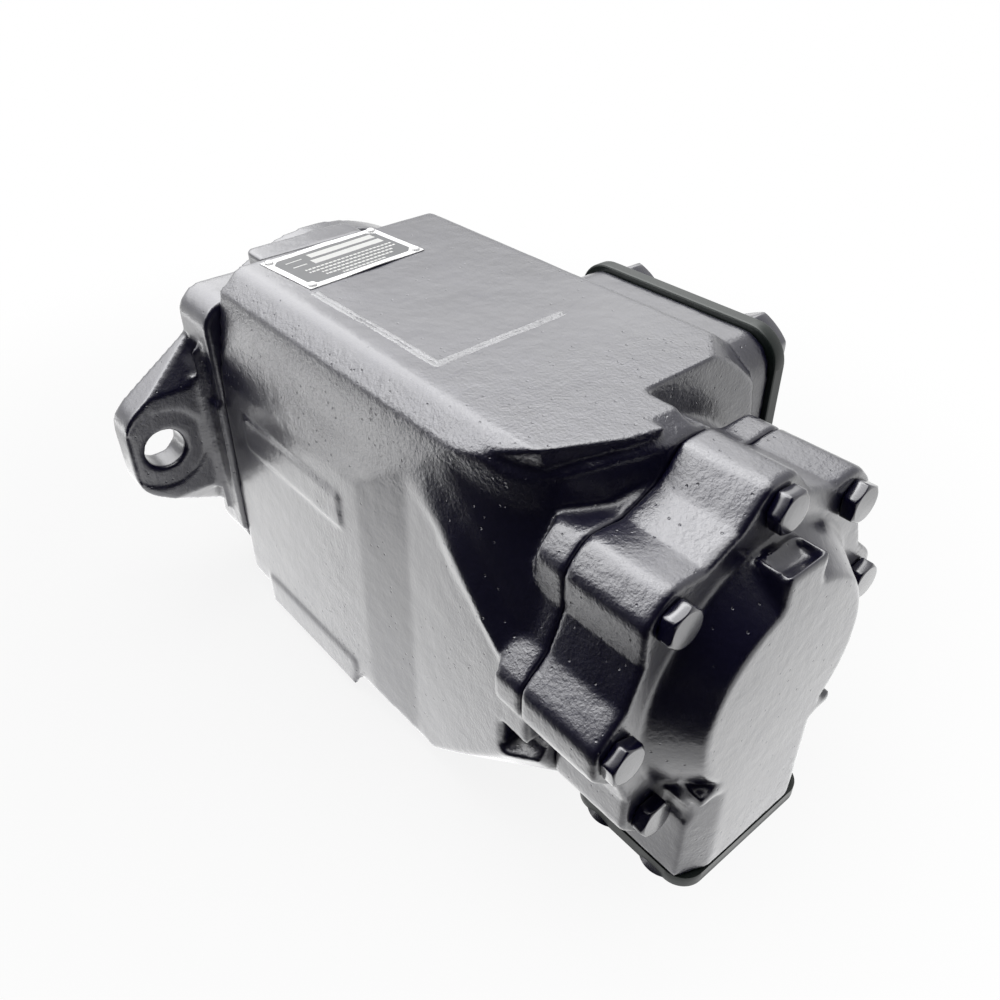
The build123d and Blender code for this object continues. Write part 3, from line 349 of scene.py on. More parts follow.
def enamel(name, gloss, grain_height, peel_height, pit_depth, deep=ENAMEL, thin=ENAMEL_THIN):
    """Black enamel under its own clear skin. It mirrors the room softly, with grain, orange peel and pits.

    Gloss is the skin's roughness, heights and depth are in mm, and grit on the mesh says how sandy it is.
    """
    made, tree, output = start_material(name)
    where = add(tree, "ShaderNodeTexCoord").outputs["Object"]
    grit = add(tree, "ShaderNodeAttribute", {"attribute_name": "grit"}).outputs["Fac"]
    grain = add(
        tree,
        "ShaderNodeTexNoise",
        (),
        {"Vector": where, "Scale": 1000 / grain_mm, "Detail": 3.0, "Roughness": 0.6},
    )
    peel = add(tree, "ShaderNodeTexNoise", (), {"Vector": where, "Scale": 1000 / peel_mm, "Detail": 1.0})
    wave = add(tree, "ShaderNodeTexNoise", (), {"Vector": where, "Scale": 1000 / wave_mm, "Detail": 3.0})
    cells = add(
        tree, "ShaderNodeTexVoronoi", {"feature": "F1"}, {"Vector": where, "Scale": 1000 / pit_spacing_mm}
    )
    hole = add(
        tree,
        "ShaderNodeMapRange",
        {"interpolation_type": "SMOOTHSTEP"},
        {
            "Value": cells.outputs["Distance"],
            "From Min": pit_floor,
            "From Max": pit_edge,
            "To Min": 1.0,
            "To Max": 0.0,
        },
    )
    chance = add(
        tree, "ShaderNodeMath", {"operation": "MULTIPLY_ADD"}, {0: grit, 1: pits_more, 2: pits_least}
    )
    pitted = add(
        tree,
        "ShaderNodeMath",
        {"operation": "LESS_THAN"},
        {0: cells.outputs["Color"], 1: chance.outputs[0]},
    )
    pits = add(
        tree, "ShaderNodeMath", {"operation": "MULTIPLY"}, {0: hole.outputs[0], 1: pitted.outputs[0]}
    )
    sandy = add(
        tree,
        "ShaderNodeMath",
        {"operation": "MULTIPLY_ADD"},
        {0: grit, 1: 1 - grain_least, 2: grain_least},
    )
    grains = add(
        tree, "ShaderNodeMath", {"operation": "MULTIPLY"}, {0: grain.outputs["Fac"], 1: sandy.outputs[0]}
    )
    height = 0.0
    for relief, depth in (
        (grains.outputs[0], grain_height),
        (peel.outputs["Fac"], peel_height),
        (pits.outputs[0], -pit_depth),
    ):
        height = add(
            tree, "ShaderNodeMath", {"operation": "MULTIPLY_ADD"}, {0: relief, 1: depth, 2: height}
        ).outputs[0]
    bump = add(tree, "ShaderNodeBump", (), {"Strength": 1.0, "Distance": 0.001, "Height": height})
    paint = add(
        tree,
        "ShaderNodeMix",
        {"data_type": "RGBA"},
        {"Factor": wave.outputs["Fac"], 6: linear(deep), 7: linear(thin)},
    )
    sheen = add(
        tree,
        "ShaderNodeMapRange",
        (),
        {
            "Value": wave.outputs["Fac"],
            "From Min": wave_low,
            "From Max": wave_high,
            "To Min": gloss * sheen_low,
            "To Max": gloss * sheen_high,
        },
    )
    shader = add(
        tree,
        "ShaderNodeBsdfPrincipled",
        (),
        {
            "Base Color": paint.outputs[2],
            "Roughness": gloss * pigment_dullness,
            "IOR": enamel_ior,
            "Normal": bump.outputs[0],
            "Coat Weight": 1.0,
            "Coat Roughness": sheen.outputs[0],
            "Coat IOR": coat_ior,
            "Coat Normal": bump.outputs[0],
        },
    )
    tree.links.new(shader.outputs[0], output.inputs["Surface"])
    return made


def near(value, place, reach):
    """1 at place, falling smoothly to 0 at reach on either side."""
    share = max(0.0, 1.0 - abs(value - place) / reach)
    return share * share * (3 - 2 * share)


slow_swell_mm, quick_swell_mm = 18.0, 8.0
sand_mm, sand_height_mm = 3.6, 0.12


def cast_skin(node, name, material, voxel_mm, softening, swell_mm, grit_at, filler=None):
    """The casting as the mould leaves it: edges rounded, walls slightly uneven, sandy where grit_at says."""
    build = bmesh.new()
    build.from_mesh(nodes[node].data)
    if filler:
        build.from_mesh(filler)
    mesh = bpy.data.meshes.new(name)
    build.to_mesh(mesh)
    build.free()
    skin = bpy.data.objects.new(name, mesh)
    scene.collection.objects.link(skin)
    remesh = skin.modifiers.new("remesh", "REMESH")
    remesh.mode = "VOXEL"
    remesh.voxel_size = voxel_mm / 1000
    soften = skin.modifiers.new("soften", "SMOOTH")
    soften.factor = 0.5
    soften.iterations = softening
    shown = skin.evaluated_get(bpy.context.evaluated_depsgraph_get())
    mesh = bpy.data.meshes.new_from_object(shown)
    skin.modifiers.clear()
    skin.data = mesh
    grit = mesh.attributes.new("grit", "FLOAT", "POINT")
    moved = []
    for vertex in mesh.vertices:
        at = vertex.co * 1000
        sandy = grit_at(at.x, at.y, at.z)
        grit.data[vertex.index].value = sandy
        uneven = noise.noise(at / slow_swell_mm) + 0.5 * noise.noise(at / quick_swell_mm)
        lift = swell_mm * uneven + sand_height_mm * sandy * noise.noise(at / sand_mm)
        moved.append(vertex.co + vertex.normal * lift / 1000)
    for vertex, place in zip(mesh.vertices, moved, strict=True):
        vertex.co = place
    mesh.materials.clear()
    mesh.materials.append(material)
    mesh.shade_smooth()
    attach(skin, "pump_body")
    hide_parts(node)


def housing_grit(x, y, z):
    """Smooth on top by the nameplate, coarse along the shoulder and round the scoop. Places in mm."""
    ridge = near(y, -56, 8) * past(z, 55, 66)
    shoulder = 0.4 * past(-y, 56, 60) * past(z, 36, 44)
    waist = 0.55 * near(x, 105, 30) * past(-y, 60, 64) * past(-z, -50, -44)
    rear_top = 0.6 * past(z, 68, 73) * past(x - 0.4 * y, 130, 190)
    rear = 0.45 * past(x, 160, 200)
    return min(1.0, 0.12 + ridge + shoulder + waist + rear_top + rear)


# The scoop by the end cap is shaped by hand in the mould. From its lip and its left edge it hollows
# smoothly down to the neck beside the flange. Places are in mm.
scoop_lip = [
    (158.0, -60.8, 51.0),
    (161.2, -59.5, 57.7),
    (170.4, -58.4, 64.0),
    (181.8, -55.8, 67.8),
    (191.9, -51.9, 71.2),
    (201.3, -47.3, 73.9),
    (208.2, -34.7, 74.0),
    (213.3, -24.7, 74.0),
    (217.0, -11.0, 74.0),
]
scoop_edge = [
    (158.0, -60.8, 51.0),
    (168.0, -62.5, 42.0),
    (174.9, -63.2, 37.5),
    (180.9, -64.1, 32.1),
    (186.2, -64.6, 26.5),
    (191.1, -64.8, 21.5),
    (201.0, -65.2, 11.5),
    (212.0, -65.4, 1.0),
]
foot_x, foot_x_rise, foot_x_span = 210.5, 5.0, 0.2
foot_r = 60.2
foot_r_low, foot_low_span = 5.2, 0.14
foot_r_high, foot_high_span = 12.0, 0.16
foot_start, foot_turn = 1.0, 80.0
scoop_sag, sag_inward = 3.0, 0.6
scoop_columns, scoop_rows = 96, 36
filler_depth, filler_thinner, filler_inset = 20.0, 8.0, 3.0


def at_share(points, share):
    """Place at a share of the way along a list of points."""
    lengths = [(Vector(two) - Vector(one)).length for one, two in zip(points, points[1:], strict=False)]
    left = share * sum(lengths)
    for one, two, length in zip(points, points[1:], lengths, strict=False):
        if left <= length:
            return Vector(one).lerp(Vector(two), left / length)
        left -= length
    return Vector(points[-1])


def scoop_foot(share):
    """Place on the neck beside the flange, from the side wall up to the lip's end."""
    angle = math.radians(foot_start + foot_turn * share)
    low_end, high_end = near(share, 0.0, foot_low_span), near(share, 1.0, foot_high_span)
    reach = foot_r + (low_end * foot_r_low + high_end * foot_r_high)
    x = foot_x + foot_x_rise * near(share, 1.0, foot_x_span)
    return Vector((x, -reach * math.cos(angle), reach * math.sin(angle)))


build = bmesh.new()
outer, inner = [], []
corner_to_foot = [at_share(scoop_lip, 0.0), scoop_foot(0.0)]
for j in range(scoop_columns + 1):
    share = j / scoop_columns
    lip, foot = at_share(scoop_lip, share), scoop_foot(share)
    outer.append([])
    inner.append([])
    for i in range(scoop_rows + 1):
        down = i / scoop_rows
        to_edge = at_share(scoop_edge, down) - corner_to_foot[0].lerp(corner_to_foot[1], down)
        spot = lip.lerp(foot, down) + to_edge * (1 - share) ** 3
        hollow = scoop_sag * 4 * down * (1 - down) * near(share, 0.5, 0.5)
        spot += Vector((-hollow, hollow * sag_inward, 0))
        back = spot + Vector((filler_thinner * down - filler_depth, filler_inset * min(1.0, 3 * down), 0))
        outer[-1].append(build.verts.new(spot / 1000))
        inner[-1].append(build.verts.new(back / 1000))
for j in range(scoop_columns):
    for i in range(scoop_rows):
        build.faces.new((outer[j][i], outer[j][i + 1], outer[j + 1][i + 1], outer[j + 1][i]))
        build.faces.new((inner[j][i], inner[j + 1][i], inner[j + 1][i + 1], inner[j][i + 1]))
    for i in (0, scoop_rows):
        build.faces.new((outer[j][i], outer[j + 1][i], inner[j + 1][i], inner[j][i]))
for i in range(scoop_rows):
    for j in (0, scoop_columns):
        build.faces.new((outer[j][i], inner[j][i], inner[j][i + 1], outer[j][i + 1]))
bmesh.ops.recalc_face_normals(build, faces=build.faces)
scoop_face = bpy.data.meshes.new("scoop_face")
build.to_mesh(scoop_face)
build.free()

sand_enamel = enamel(
    "black_enamel_on_sand_cast_iron", gloss=0.2, grain_height=0.28, peel_height=0.12, pit_depth=0.16
)
voxel_mm, softening = ((1.25, 4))
cast_skin(
    "main_housing",
    "housing_casting",
    sand_enamel,
    voxel_mm,
    softening,
    swell_mm=0.1,
    grit_at=housing_grit,
    filler=scoop_face,
)

# ---------------------------------------------------------------- mounting cap
# The flange with its pilot, two ears and a raised strip beside the housing. Grey iron from a sand
# mould, screwed to the housing and sprayed with it.


def cap_grit(x, y, z):
    """Even light grain, coarser on the strip by the housing."""
    return 0.2 + 0.6 * past(x, 12, 20) * past(-y, 66, 68)


voxel_mm, softening = ((1.1, 5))
cast_skin(
    "mounting_cap",
    "mounting_cap_casting",
    sand_enamel,
    voxel_mm,
    softening,
    swell_mm=0.1,
    grit_at=cap_grit,
)

# ---------------------------------------------------------------- end cap
# The rear cover, with eight lobes round its rim, a domed middle and the second outlet underneath. Grey
# iron from a sand mould, and the sand shows most on the lobes.


def end_grit(x, y, z):
    """Coarse on the lobed ring, fine on the dome and its face."""
    return 0.2 + 0.3 * past(math.hypot(y, z), 56, 60)


voxel_mm, softening = ((1.1, 4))
cast_skin(
    "end_cap", "end_cap_casting", sand_enamel, voxel_mm, softening, swell_mm=0.08, grit_at=end_grit
)

# ---------------------------------------------------------------- moulding bead on top
# Two thin ridges with a groove between them, left on the top face where an insert of the mould met
# the pattern. It is iron like the rest, and the roughest place on the casting.
# Both bead colours are pale greys that paint its highlight into the enamel's colour, as painted sheen.
BEAD_PAINTED_SHEEN_DARK, BEAD_PAINTED_SHEEN_PALE = "#3A393F", "#B9B9BD"
bead_path = [(0.0645, -0.0385), (0.1425, -0.0375), (0.1418, -0.012), (0.1412, 0.0225)]
bead_width = 5.0
bead_height = 0.62
bead_step = 0.45
bead_sink = 0.25
bead_drift, bead_drift_rate = 0.35, 0.06
crest_share, middle_share = 0.6, 0.5
crumb_mm, lump_mm = 0.9, 3.0
crumb_base, crumb_share, lump_share, crumb_least = 0.8, 0.35, 0.25, 0.05
end_steps, smooth_steps = 8, 3
across = [-1.0, -0.86, -0.66, -0.45, -0.22, 0.0, 0.22, 0.45, 0.66, 0.86, 1.0]
top_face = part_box("nameplate")[0][2]

# Enamel whose grey and pale base colours paint the bead's highlight into it: pale crumbs of painted sheen on
# a grey ground.
bead_painted_sheen_enamel = enamel(
    "mould_bead_enamel_with_painted_sheen",
    gloss=0.34,
    grain_height=0.42,
    peel_height=0.2,
    pit_depth=0.1,
    deep=BEAD_PAINTED_SHEEN_DARK,
    thin=BEAD_PAINTED_SHEEN_PALE,
)


def bead_points():
    """Evenly spaced points along the path, in metres."""
    points = []
    for first, last in zip(bead_path, bead_path[1:], strict=False):
        first, last = Vector(first), Vector(last)
        count = int((last - first).length * 1000 / bead_step)
        points += [first.lerp(last, step / count) for step in range(count)]
    return points + [Vector(bead_path[-1])]


build = bmesh.new()
rows = []
points = bead_points()
for place, point in enumerate(points):
    before = points[max(place - smooth_steps, 0)]
    after = points[min(place + smooth_steps, len(points) - 1)]
    along = (after - before).normalized()
    side = Vector((-along.y, along.x))
    fade = min(1.0, place / end_steps, (len(points) - 1 - place) / end_steps)
    drift = bead_drift * noise.noise(Vector((place * bead_drift_rate, 0.3, 0.0)))
    row = []
    for reach in across:
        spot = point + side * (reach * bead_width / 2 + drift) / 1000
        ridge = crest_share * near(abs(reach), 0.5, 0.5) + middle_share * near(reach, 0.0, 1.0)
        crumble = crumb_base + crumb_share * noise.noise(Vector((spot.x, spot.y, 0)) * 1000 / crumb_mm)
        crumble += lump_share * noise.noise(Vector((spot.x, spot.y, 0.01)) * 1000 / lump_mm)
        height = fade * bead_height * ridge * max(crumble, crumb_least) - bead_sink
        row.append(build.verts.new((spot.x, spot.y, top_face + height / 1000)))
    rows.append(row)
for one, two in zip(rows, rows[1:], strict=False):
    for left in range(len(across) - 1):
        build.faces.new((one[left], two[left], two[left + 1], one[left + 1]))
grit_layer = build.verts.layers.float.new("grit")
for vertex in build.verts:
    vertex[grit_layer] = 1.0
bead = new_piece("moulding_bead", build, bead_painted_sheen_enamel)
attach(bead, "pump_body")

# ---------------------------------------------------------------- end cap bolts
# Seven M8 hexagon bolts of forged steel hold the end cap. They are driven in before spraying, so their
# heads carry the enamel, thick enough to soften the hexagon. Sizes are in mm.
end_flats, end_head, end_shank_r, end_shank = 13.0, 5.3, 4.0, 43.9
bolt_circle = 60.0
bolt_angles = (0, 45, 90, 135, 180, 225, 315)
first_turn, turn_step = 0.35, 1.7
washer_share, washer_mm = 0.97, 0.35
corner_share, corner_ease = 1.135, 0.12
chamfer_share, chamfer_slope = 0.96, math.tan(math.radians(30))
crown_share = 0.9
under_ease, flank_start, flank_end = 0.03, 0.25, 0.3
edge_inset, edge_drop, crown_drop = 0.1, 0.04, 0.02
head_steps = 72

# Enamel on a forged face: no sand under it, so it mirrors more sharply than on the castings.
bolt_enamel = enamel(
    "black_enamel_on_forged_steel", gloss=0.16, grain_height=0.06, peel_height=0.05, pit_depth=0.0
)


def hexagon_bolt(build, place, out, flats, height, shank, length, turn):
    """Bolt head with its cone chamfer and thin washer face, and the plain shank behind it."""
    place, out = Vector(place), Vector(out)
    side = out.cross(Vector((0, 0, 1))).normalized()
    up = side.cross(out)
    flat_r = flats / 2
    rings = []

    def ring(radius_at, height_at):
        made = []
        for step in range(head_steps):
            angle = 2 * math.pi * step / head_steps
            spoke = side * math.cos(angle + turn) + up * math.sin(angle + turn)
            at = place * 1000 + spoke * radius_at(angle) + out * height_at(angle)
            made.append(build.verts.new(at / 1000))
        rings.append(made)

    def hexagon(angle):
        sharp = flat_r / math.cos((angle + math.pi / 6) % (math.pi / 3) - math.pi / 6)
        return min(sharp, flat_r * corner_share)

    def shoulder(angle):
        return height - max(0.0, hexagon(angle) - flat_r * chamfer_share) * chamfer_slope

    ring(lambda a: shank, lambda a: -length)
    ring(lambda a: shank, lambda a: 0.0)
    ring(lambda a: flat_r * washer_share, lambda a: 0.0)
    ring(lambda a: flat_r * washer_share, lambda a: washer_mm)
    ring(lambda a: hexagon(a) - corner_ease, lambda a: washer_mm + under_ease)
    ring(hexagon, lambda a: washer_mm + flank_start)
    ring(hexagon, lambda a: shoulder(a) - flank_end)
    ring(lambda a: hexagon(a) - edge_inset, lambda a: shoulder(a) - edge_drop)
    ring(lambda a: flat_r * chamfer_share, lambda a: height - crown_drop)
    ring(lambda a: flat_r * crown_share, lambda a: height)
    for low, high in zip(rings, rings[1:], strict=False):
        for step in range(head_steps):
            after = (step + 1) % head_steps
            build.faces.new((low[step], low[after], high[after], high[step]))
    build.faces.new(list(reversed(rings[0])))
    build.faces.new(rings[-1])


build = bmesh.new()
seat_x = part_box("end_cap_bolts")[1][0] - end_head / 1000
for count, degrees in enumerate(bolt_angles):
    angle = math.radians(degrees)
    place = (seat_x, bolt_circle * math.cos(angle) / 1000, bolt_circle * math.sin(angle) / 1000)
    turn = first_turn + turn_step * count
    hexagon_bolt(build, place, (1, 0, 0), end_flats, end_head, end_shank_r, end_shank, turn)
end_bolts = new_piece("end_cap_hexagon_bolts", build, bolt_enamel)
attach(end_bolts, "pump_body")
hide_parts("end_cap_bolts")

# ---------------------------------------------------------------- suction cover bolts
# Four M16 hexagon bolts through the suction cover, in the pattern of the port's flange. Forged steel,
# sprayed like the others. Sizes are in mm, and the pattern's in metres.
cover_flats, cover_head, cover_shank_r, cover_shank = 24.0, 10.0, 8.0, 27.9
pattern_x, pattern_z = 0.03095, 0.0532
build = bmesh.new()
low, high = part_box("suction_cover_bolts")
cover_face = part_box("suction_cover")[1][1]
for side in (-1, 1):
    for rise in (-1, 1):
        place = ((low[0] + high[0]) / 2 + side * pattern_x, cover_face, rise * pattern_z)
        turn = 0.6 + side + 0.4 * rise
        hexagon_bolt(build, place, (0, 1, 0), cover_flats, cover_head, cover_shank_r, cover_shank, turn)
suction_bolts = new_piece("suction_cover_hexagon_bolts", build, bolt_enamel)
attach(suction_bolts, "pump_body")
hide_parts("suction_cover_bolts")

# ---------------------------------------------------------------- shipping covers
# Flat covers that close the suction port and both outlets until the pump is fitted, of dark green
# moulded plastic. Bolts hold the large one, and countersunk screws the two underneath.
COVER = "#0B1512"
COVER_THIN = "#15221D"
leather_mm, leather_depth_mm = 1.3, 0.06
cloud_mm = 1000 / 60
cover_dullness = (0.28, 0.44)
cover_ease_mm = 0.8

# Moulded gloss with a faint leather grain, drawn coarser than its 0.5 mm so that it shows. It gives
# soft highlights, and a little more green in places.
moulded, tree, output = start_material("dark_green_moulded_plastic")
where = add(tree, "ShaderNodeTexCoord").outputs["Object"]
leather = add(
    tree,
    "ShaderNodeTexVoronoi",
    {"feature": "DISTANCE_TO_EDGE"},
    {"Vector": where, "Scale": 1000 / leather_mm},
)
cloud = add(tree, "ShaderNodeTexNoise", (), {"Vector": where, "Scale": 1000 / cloud_mm, "Detail": 3.0})
tint = add(
    tree,
    "ShaderNodeMix",
    {"data_type": "RGBA"},
    {"Factor": cloud.outputs["Fac"], 6: linear(COVER), 7: linear(COVER_THIN)},
)
dull = add(
    tree,
    "ShaderNodeMapRange",
    (),
    {"Value": cloud.outputs["Fac"], "To Min": cover_dullness[0], "To Max": cover_dullness[1]},
)
bump = add(
    tree,
    "ShaderNodeBump",
    (),
    {"Strength": 0.5, "Distance": leather_depth_mm / 1000, "Height": leather.outputs["Distance"]},
)
surface = add(
    tree,
    "ShaderNodeBsdfPrincipled",
    (),
    {"Base Color": tint.outputs[2], "Roughness": dull.outputs[0], "IOR": 1.5, "Normal": bump.outputs[0]},
)
tree.links.new(surface.outputs[0], output.inputs["Surface"])


def paint_node(node, material):
    """Gives a CAD node its material."""
    nodes[node].data.materials.clear()
    nodes[node].data.materials.append(material)


def eased(node, width_mm, material):
    """Gives a CAD node its material and a small rounding along its sharp edges."""
    made = nodes[node]
    weld = made.modifiers.new("weld", "WELD")
    weld.merge_threshold = 0.00001
    bevel = made.modifiers.new("ease", "BEVEL")
    bevel.width = width_mm / 1000
    bevel.segments = 2
    bevel.limit_method = "ANGLE"
    bevel.angle_limit = math.radians(35)
    paint_node(node, material)


for name in ("suction_cover", "outlet_1_cover", "outlet_2_cover"):
    eased(name, cover_ease_mm, moulded)
for name in ("outlet_1_cover_screws", "outlet_2_cover_screws"):
    paint_node(name, bolt_enamel)

# ---------------------------------------------------------------- nameplate
# Thin aluminium plate, etched and printed: bare silver border, dark grey field, blank pale boxes and
# rows of plain dashes. It is held by rivets, and its edge lifts a little between them. Sizes in mm.
SILVER = "#F2F2F2"
FIELD = "#6A6B6D"
BOXES = "#E6E6E4"
plate_length, plate_width = 56.0, 35.0
plate_turn = math.radians(4)
plate_border, plate_corner = 3.0, 3.0
sheet_mm, sheet_sink_mm = 0.4, 0.45
edge_lift_mm, lift_starts, lift_middle, lift_reach = 0.35, 12.0, 3.0, 22.0
ripple_mm, ripple_length_mm = 0.12, 9.0
plate_columns, plate_lines = 88, 140
boxes = [
    (-12.0, -8.0, -10.0, 22.5),
    (-5.9, -1.9, -12.0, 22.5),
    (-9.8, -9.0, -21.0, -13.5),
    (-4.3, -3.5, -21.0, -15.0),
]
rows = [(0.8, -19.0, 23.0), (3.6, -19.0, 23.0), (6.4, -15.0, 20.0), (9.2, -15.0, 18.0), (12.0, -9.0, 12.0)]
row_height, dash_step, dash_length = 1.3, 2.0, 1.5
brush_mm, brush_stretch, brush_depth_mm = 0.4, 0.05, 0.02
smudge_mm = 1000 / 120
smudge_low, smudge_high = 0.8, 1.2


def sheet_finish(name, code, metallic, dullness):
    """Finish of the plate: faint smudges and a brushed grain, coarser than the real one's 0.1 mm."""
    made, tree, output = start_material(name)
    where = add(tree, "ShaderNodeTexCoord").outputs["Object"]
    along = add(tree, "ShaderNodeMapping", (), {"Vector": where, "Scale": (1.0, brush_stretch, 1.0)})
    brushed = add(
        tree,
        "ShaderNodeTexNoise",
        (),
        {"Vector": along.outputs[0], "Scale": 1000 / brush_mm, "Detail": 2.0},
    )
    smudge = add(tree, "ShaderNodeTexNoise", (), {"Vector": where, "Scale": 1000 / smudge_mm, "Detail": 3.0})
    dull = add(
        tree,
        "ShaderNodeMapRange",
        (),
        {"Value": smudge.outputs["Fac"], "To Min": dullness * smudge_low, "To Max": dullness * smudge_high},
    )
    bump = add(
        tree,
        "ShaderNodeBump",
        (),
        {"Strength": 0.3, "Distance": brush_depth_mm / 1000, "Height": brushed.outputs["Fac"]},
    )
    surface = add(
        tree,
        "ShaderNodeBsdfPrincipled",
        (),
        {
            "Base Color": linear(code),
            "Metallic": metallic,
            "Roughness": dull.outputs[0],
            "Normal": bump.outputs[0],
        },
    )
    tree.links.new(surface.outputs[0], output.inputs["Surface"])
    return made


# Etching leaves the aluminium matt and nearly white, and the prints on it are matt inks.
silver = sheet_finish("etched_aluminium_sheet", SILVER, metallic=0.25, dullness=0.55)
field_ink = sheet_finish("dark_grey_print", FIELD, metallic=0.0, dullness=0.5)
box_ink = sheet_finish("pale_print", BOXES, metallic=0.0, dullness=0.55)

low, high = (Vector(corner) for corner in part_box("nameplate"))
plate_middle = (low + high) / 2
plate_x = Vector((math.cos(plate_turn), math.sin(plate_turn), 0))
plate_y = Vector((-math.sin(plate_turn), math.cos(plate_turn), 0))


def printed(x, y):
    """Which print lies at a place on the plate: 0 bare border, 1 field, 2 pale box or dash."""
    reach_x, reach_y = plate_width / 2 - plate_border, plate_length / 2 - plate_border
    if abs(x) > reach_x or abs(y) > reach_y or abs(x) + abs(y) > reach_x + reach_y - plate_corner:
        return 0
    in_box = any(left <= x <= right and low <= y <= high for left, right, low, high in boxes)
    in_row = any(row <= x <= row + row_height and low <= y <= high for row, low, high in rows)
    return 2 if in_box or (in_row and y % dash_step < dash_length) else 1


build = bmesh.new()
grid = []
for i in range(plate_columns + 1):
    line = []
    for j in range(plate_lines + 1):
        x = plate_width * (i / plate_columns - 0.5)
        y = plate_length * (j / plate_lines - 0.5)
        lift = edge_lift_mm * past(abs(x), lift_starts, plate_width / 2) * near(y, lift_middle, lift_reach)
        lift += ripple_mm * noise.noise(Vector((x, y, 3)) / ripple_length_mm)
        at = plate_middle + (plate_x * x + plate_y * y) / 1000
        at.z = high.z + (max(lift, 0.0) - sheet_sink_mm) / 1000
        line.append(build.verts.new(at))
    grid.append(line)
for i in range(plate_columns):
    for j in range(plate_lines):
        face = build.faces.new((grid[i][j], grid[i + 1][j], grid[i + 1][j + 1], grid[i][j + 1]))
        x = plate_width * ((i + 0.5) / plate_columns - 0.5)
        y = plate_length * ((j + 0.5) / plate_lines - 0.5)
        face.material_index = printed(x, y)
plate = new_piece("nameplate_sheet", build, silver, field_ink, box_ink)
thick = plate.modifiers.new("sheet", "SOLIDIFY")
thick.thickness = sheet_mm / 1000
thick.offset = -1.0
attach(plate, "pump_body")
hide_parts("nameplate")

# ---------------------------------------------------------------- nameplate rivets
# Four small domed rivets of soft aluminium, pressed through the plate's corners into the housing.
# Pressing leaves their heads smooth and round. Sizes are in mm.
rivet_inset, rivet_r, rivet_rise = 2.6, 1.9, 0.62
rivet_sink, rivet_base = 0.3, 0.4
build = bmesh.new()
for x in (-1, 1):
    for y in (-1, 1):
        across = plate_x * x * (plate_width / 2 - rivet_inset)
        spot = plate_middle + (across + plate_y * y * (plate_length / 2 - rivet_inset)) / 1000
        spot.z = high.z - rivet_sink / 1000
        dome = bmesh.ops.create_uvsphere(build, u_segments=24, v_segments=12, radius=rivet_r / 1000)
        for vertex in dome["verts"]:
            vertex.co.z = max(vertex.co.z * rivet_rise, -rivet_base / 1000)
            vertex.co += spot
rivets = new_piece("nameplate_domed_rivets", build, silver)
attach(rivets, "pump_body")
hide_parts("nameplate_rivets")

# ---------------------------------------------------------------- shaft and key
# The drive shaft and its key are alloy steel, hardened and then ground round the axis, which leaves a
# bright face with very fine rings. Sharp edges are broken by hand.
GROUND_STEEL = "#B9BBBD"
shaft_ease_mm = 0.25
ring_stretch = 0.04
marks_strength = 0.6
stain_mm = 1000 / 70
stain_shade = 0.72
stain_low, stain_high = 0.7, 1.35
node_slots = {part["node"]: part["material_slot"] for part in frame["record"]["subparts"]}


def machined(name, code, dullness, marks_mm, marks_depth_mm, around_shaft=False, metallic=1.0):
    """Faint stains and tool marks, as rings round the shaft's axis or an even grain, drawn coarse to show."""
    made, tree, output = start_material(name)
    where = add(tree, "ShaderNodeTexCoord").outputs["Object"]
    scale = (1.0, ring_stretch, ring_stretch) if around_shaft else (1.0, 1.0, 1.0)
    stretched = add(tree, "ShaderNodeMapping", (), {"Vector": where, "Scale": scale})
    marks = add(
        tree,
        "ShaderNodeTexNoise",
        (),
        {"Vector": stretched.outputs[0], "Scale": 1000 / marks_mm, "Detail": 3.0},
    )
    stain = add(tree, "ShaderNodeTexNoise", (), {"Vector": where, "Scale": 1000 / stain_mm, "Detail": 4.0})
    dull = add(
        tree,
        "ShaderNodeMapRange",
        (),
        {"Value": stain.outputs["Fac"], "To Min": dullness * stain_low, "To Max": dullness * stain_high},
    )
    darker = tuple(c * stain_shade for c in linear(code)[:3]) + (1.0,)
    tone = add(
        tree,
        "ShaderNodeMix",
        {"data_type": "RGBA"},
        {"Factor": stain.outputs["Fac"], 6: darker, 7: linear(code)},
    )
    bump = add(
        tree,
        "ShaderNodeBump",
        (),
        {"Strength": marks_strength, "Distance": marks_depth_mm / 1000, "Height": marks.outputs["Fac"]},
    )
    surface = add(
        tree,
        "ShaderNodeBsdfPrincipled",
        (),
        {
            "Base Color": tone.outputs[2],
            "Metallic": metallic,
            "Roughness": dull.outputs[0],
            "Normal": bump.outputs[0],
        },
    )
    tree.links.new(surface.outputs[0], output.inputs["Surface"])
    return made


def finish_slot(slot, material):
    """Gives every CAD node of a material slot its finish."""
    for name in nodes:
        if node_slots[name] == slot:
            paint_node(name, material)


ground_steel = machined(
    "ground_alloy_steel", GROUND_STEEL, dullness=0.24, marks_mm=0.5, marks_depth_mm=0.01, around_shaft=True
)
for name in ("shaft", "shaft_key"):
    eased(name, shaft_ease_mm, ground_steel)

# ---------------------------------------------------------------- mounting cap and cartridge screws
# Socket screws and dowels of alloy steel, blackened in hot oxide salts. That keeps the steel's grain
# and leaves it satin black, never glossy.
OXIDE = "#26262A"
oxide_steel = machined(
    "black_oxide_steel", OXIDE, dullness=0.38, marks_mm=0.5, marks_depth_mm=0.01, metallic=0.8
)
finish_slot("black_oxide_steel", oxide_steel)
eased("mounting_cap_screws", shaft_ease_mm, oxide_steel)

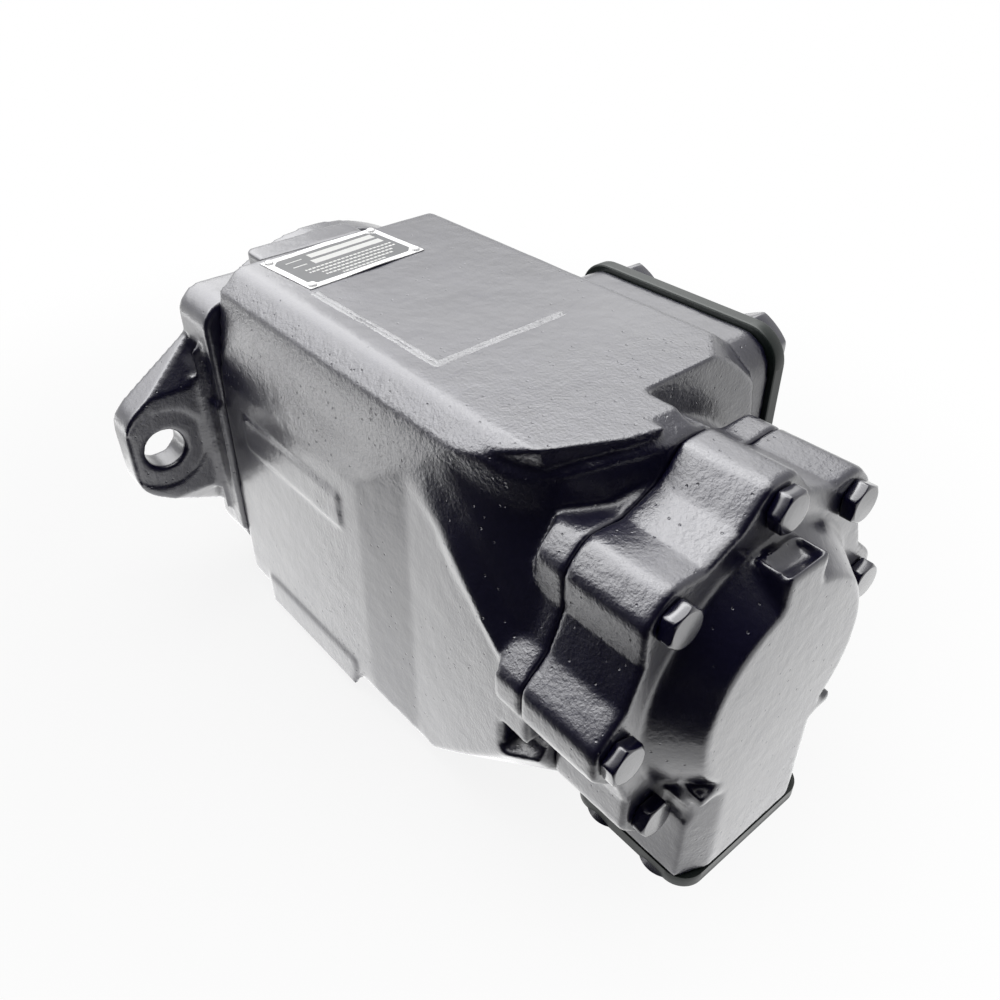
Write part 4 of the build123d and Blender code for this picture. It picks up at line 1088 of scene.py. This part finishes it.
# ---------------------------------------------------------------- seals
# The shaft seal's rubber, both caps' seal rings and the plates' rings are moulded nitrile rubber. It is
# black and matt, with a faint bloom.
RUBBER = "#161617"
rubber = machined("nitrile_rubber", RUBBER, dullness=0.62, marks_mm=0.4, marks_depth_mm=0.02, metallic=0.0)
finish_slot("nitrile_rubber", rubber)

# ---------------------------------------------------------------- shaft bearing
# A deep groove ball bearing: races and balls of polished bearing steel, almost mirror bright, with a
# cage pressed from brass sheet. Retaining rings of phosphated spring steel, dark and matt, hold it.
POLISHED = "#C6C6C8"
BRASS = "#C9A052"
PHOSPHATE = "#4C4C50"
race_steel = machined(
    "polished_bearing_steel", POLISHED, dullness=0.12, marks_mm=0.8, marks_depth_mm=0.004, around_shaft=True
)
cage_brass = machined("pressed_brass", BRASS, dullness=0.3, marks_mm=0.9, marks_depth_mm=0.01)
ring_steel = machined("phosphated_spring_steel", PHOSPHATE, dullness=0.45, marks_mm=0.5, marks_depth_mm=0.01)
finish_slot("bearing_steel", race_steel)
finish_slot("brass_cage", cage_brass)
finish_slot("spring_steel", ring_steel)

# ---------------------------------------------------------------- rear bush
# A plain bush that carries the shaft's rear end, pressed and sintered from bronze powder. Its pores
# hold oil and leave it dull brown.
BRONZE = "#A97C42"
bush_bronze = machined("sintered_bronze", BRONZE, dullness=0.42, marks_mm=0.4, marks_depth_mm=0.02)
finish_slot("bronze_bush", bush_bronze)

# ---------------------------------------------------------------- cartridges
# Pressure and side plates are iron, lapped to an even dull grey. Cam rings, rotors and vanes are tool
# steel, hardened and ground, which leaves a cooler and brighter grey.
LAPPED_IRON = "#8B8C8E"
TOOL_STEEL = "#A2A4A8"
plate_iron = machined("lapped_cast_iron", LAPPED_IRON, dullness=0.4, marks_mm=0.8, marks_depth_mm=0.02)
tool_steel = machined("hardened_tool_steel", TOOL_STEEL, dullness=0.22, marks_mm=0.6, marks_depth_mm=0.01)
finish_slot("port_plate_iron", plate_iron)
finish_slot("hardened_steel", tool_steel)
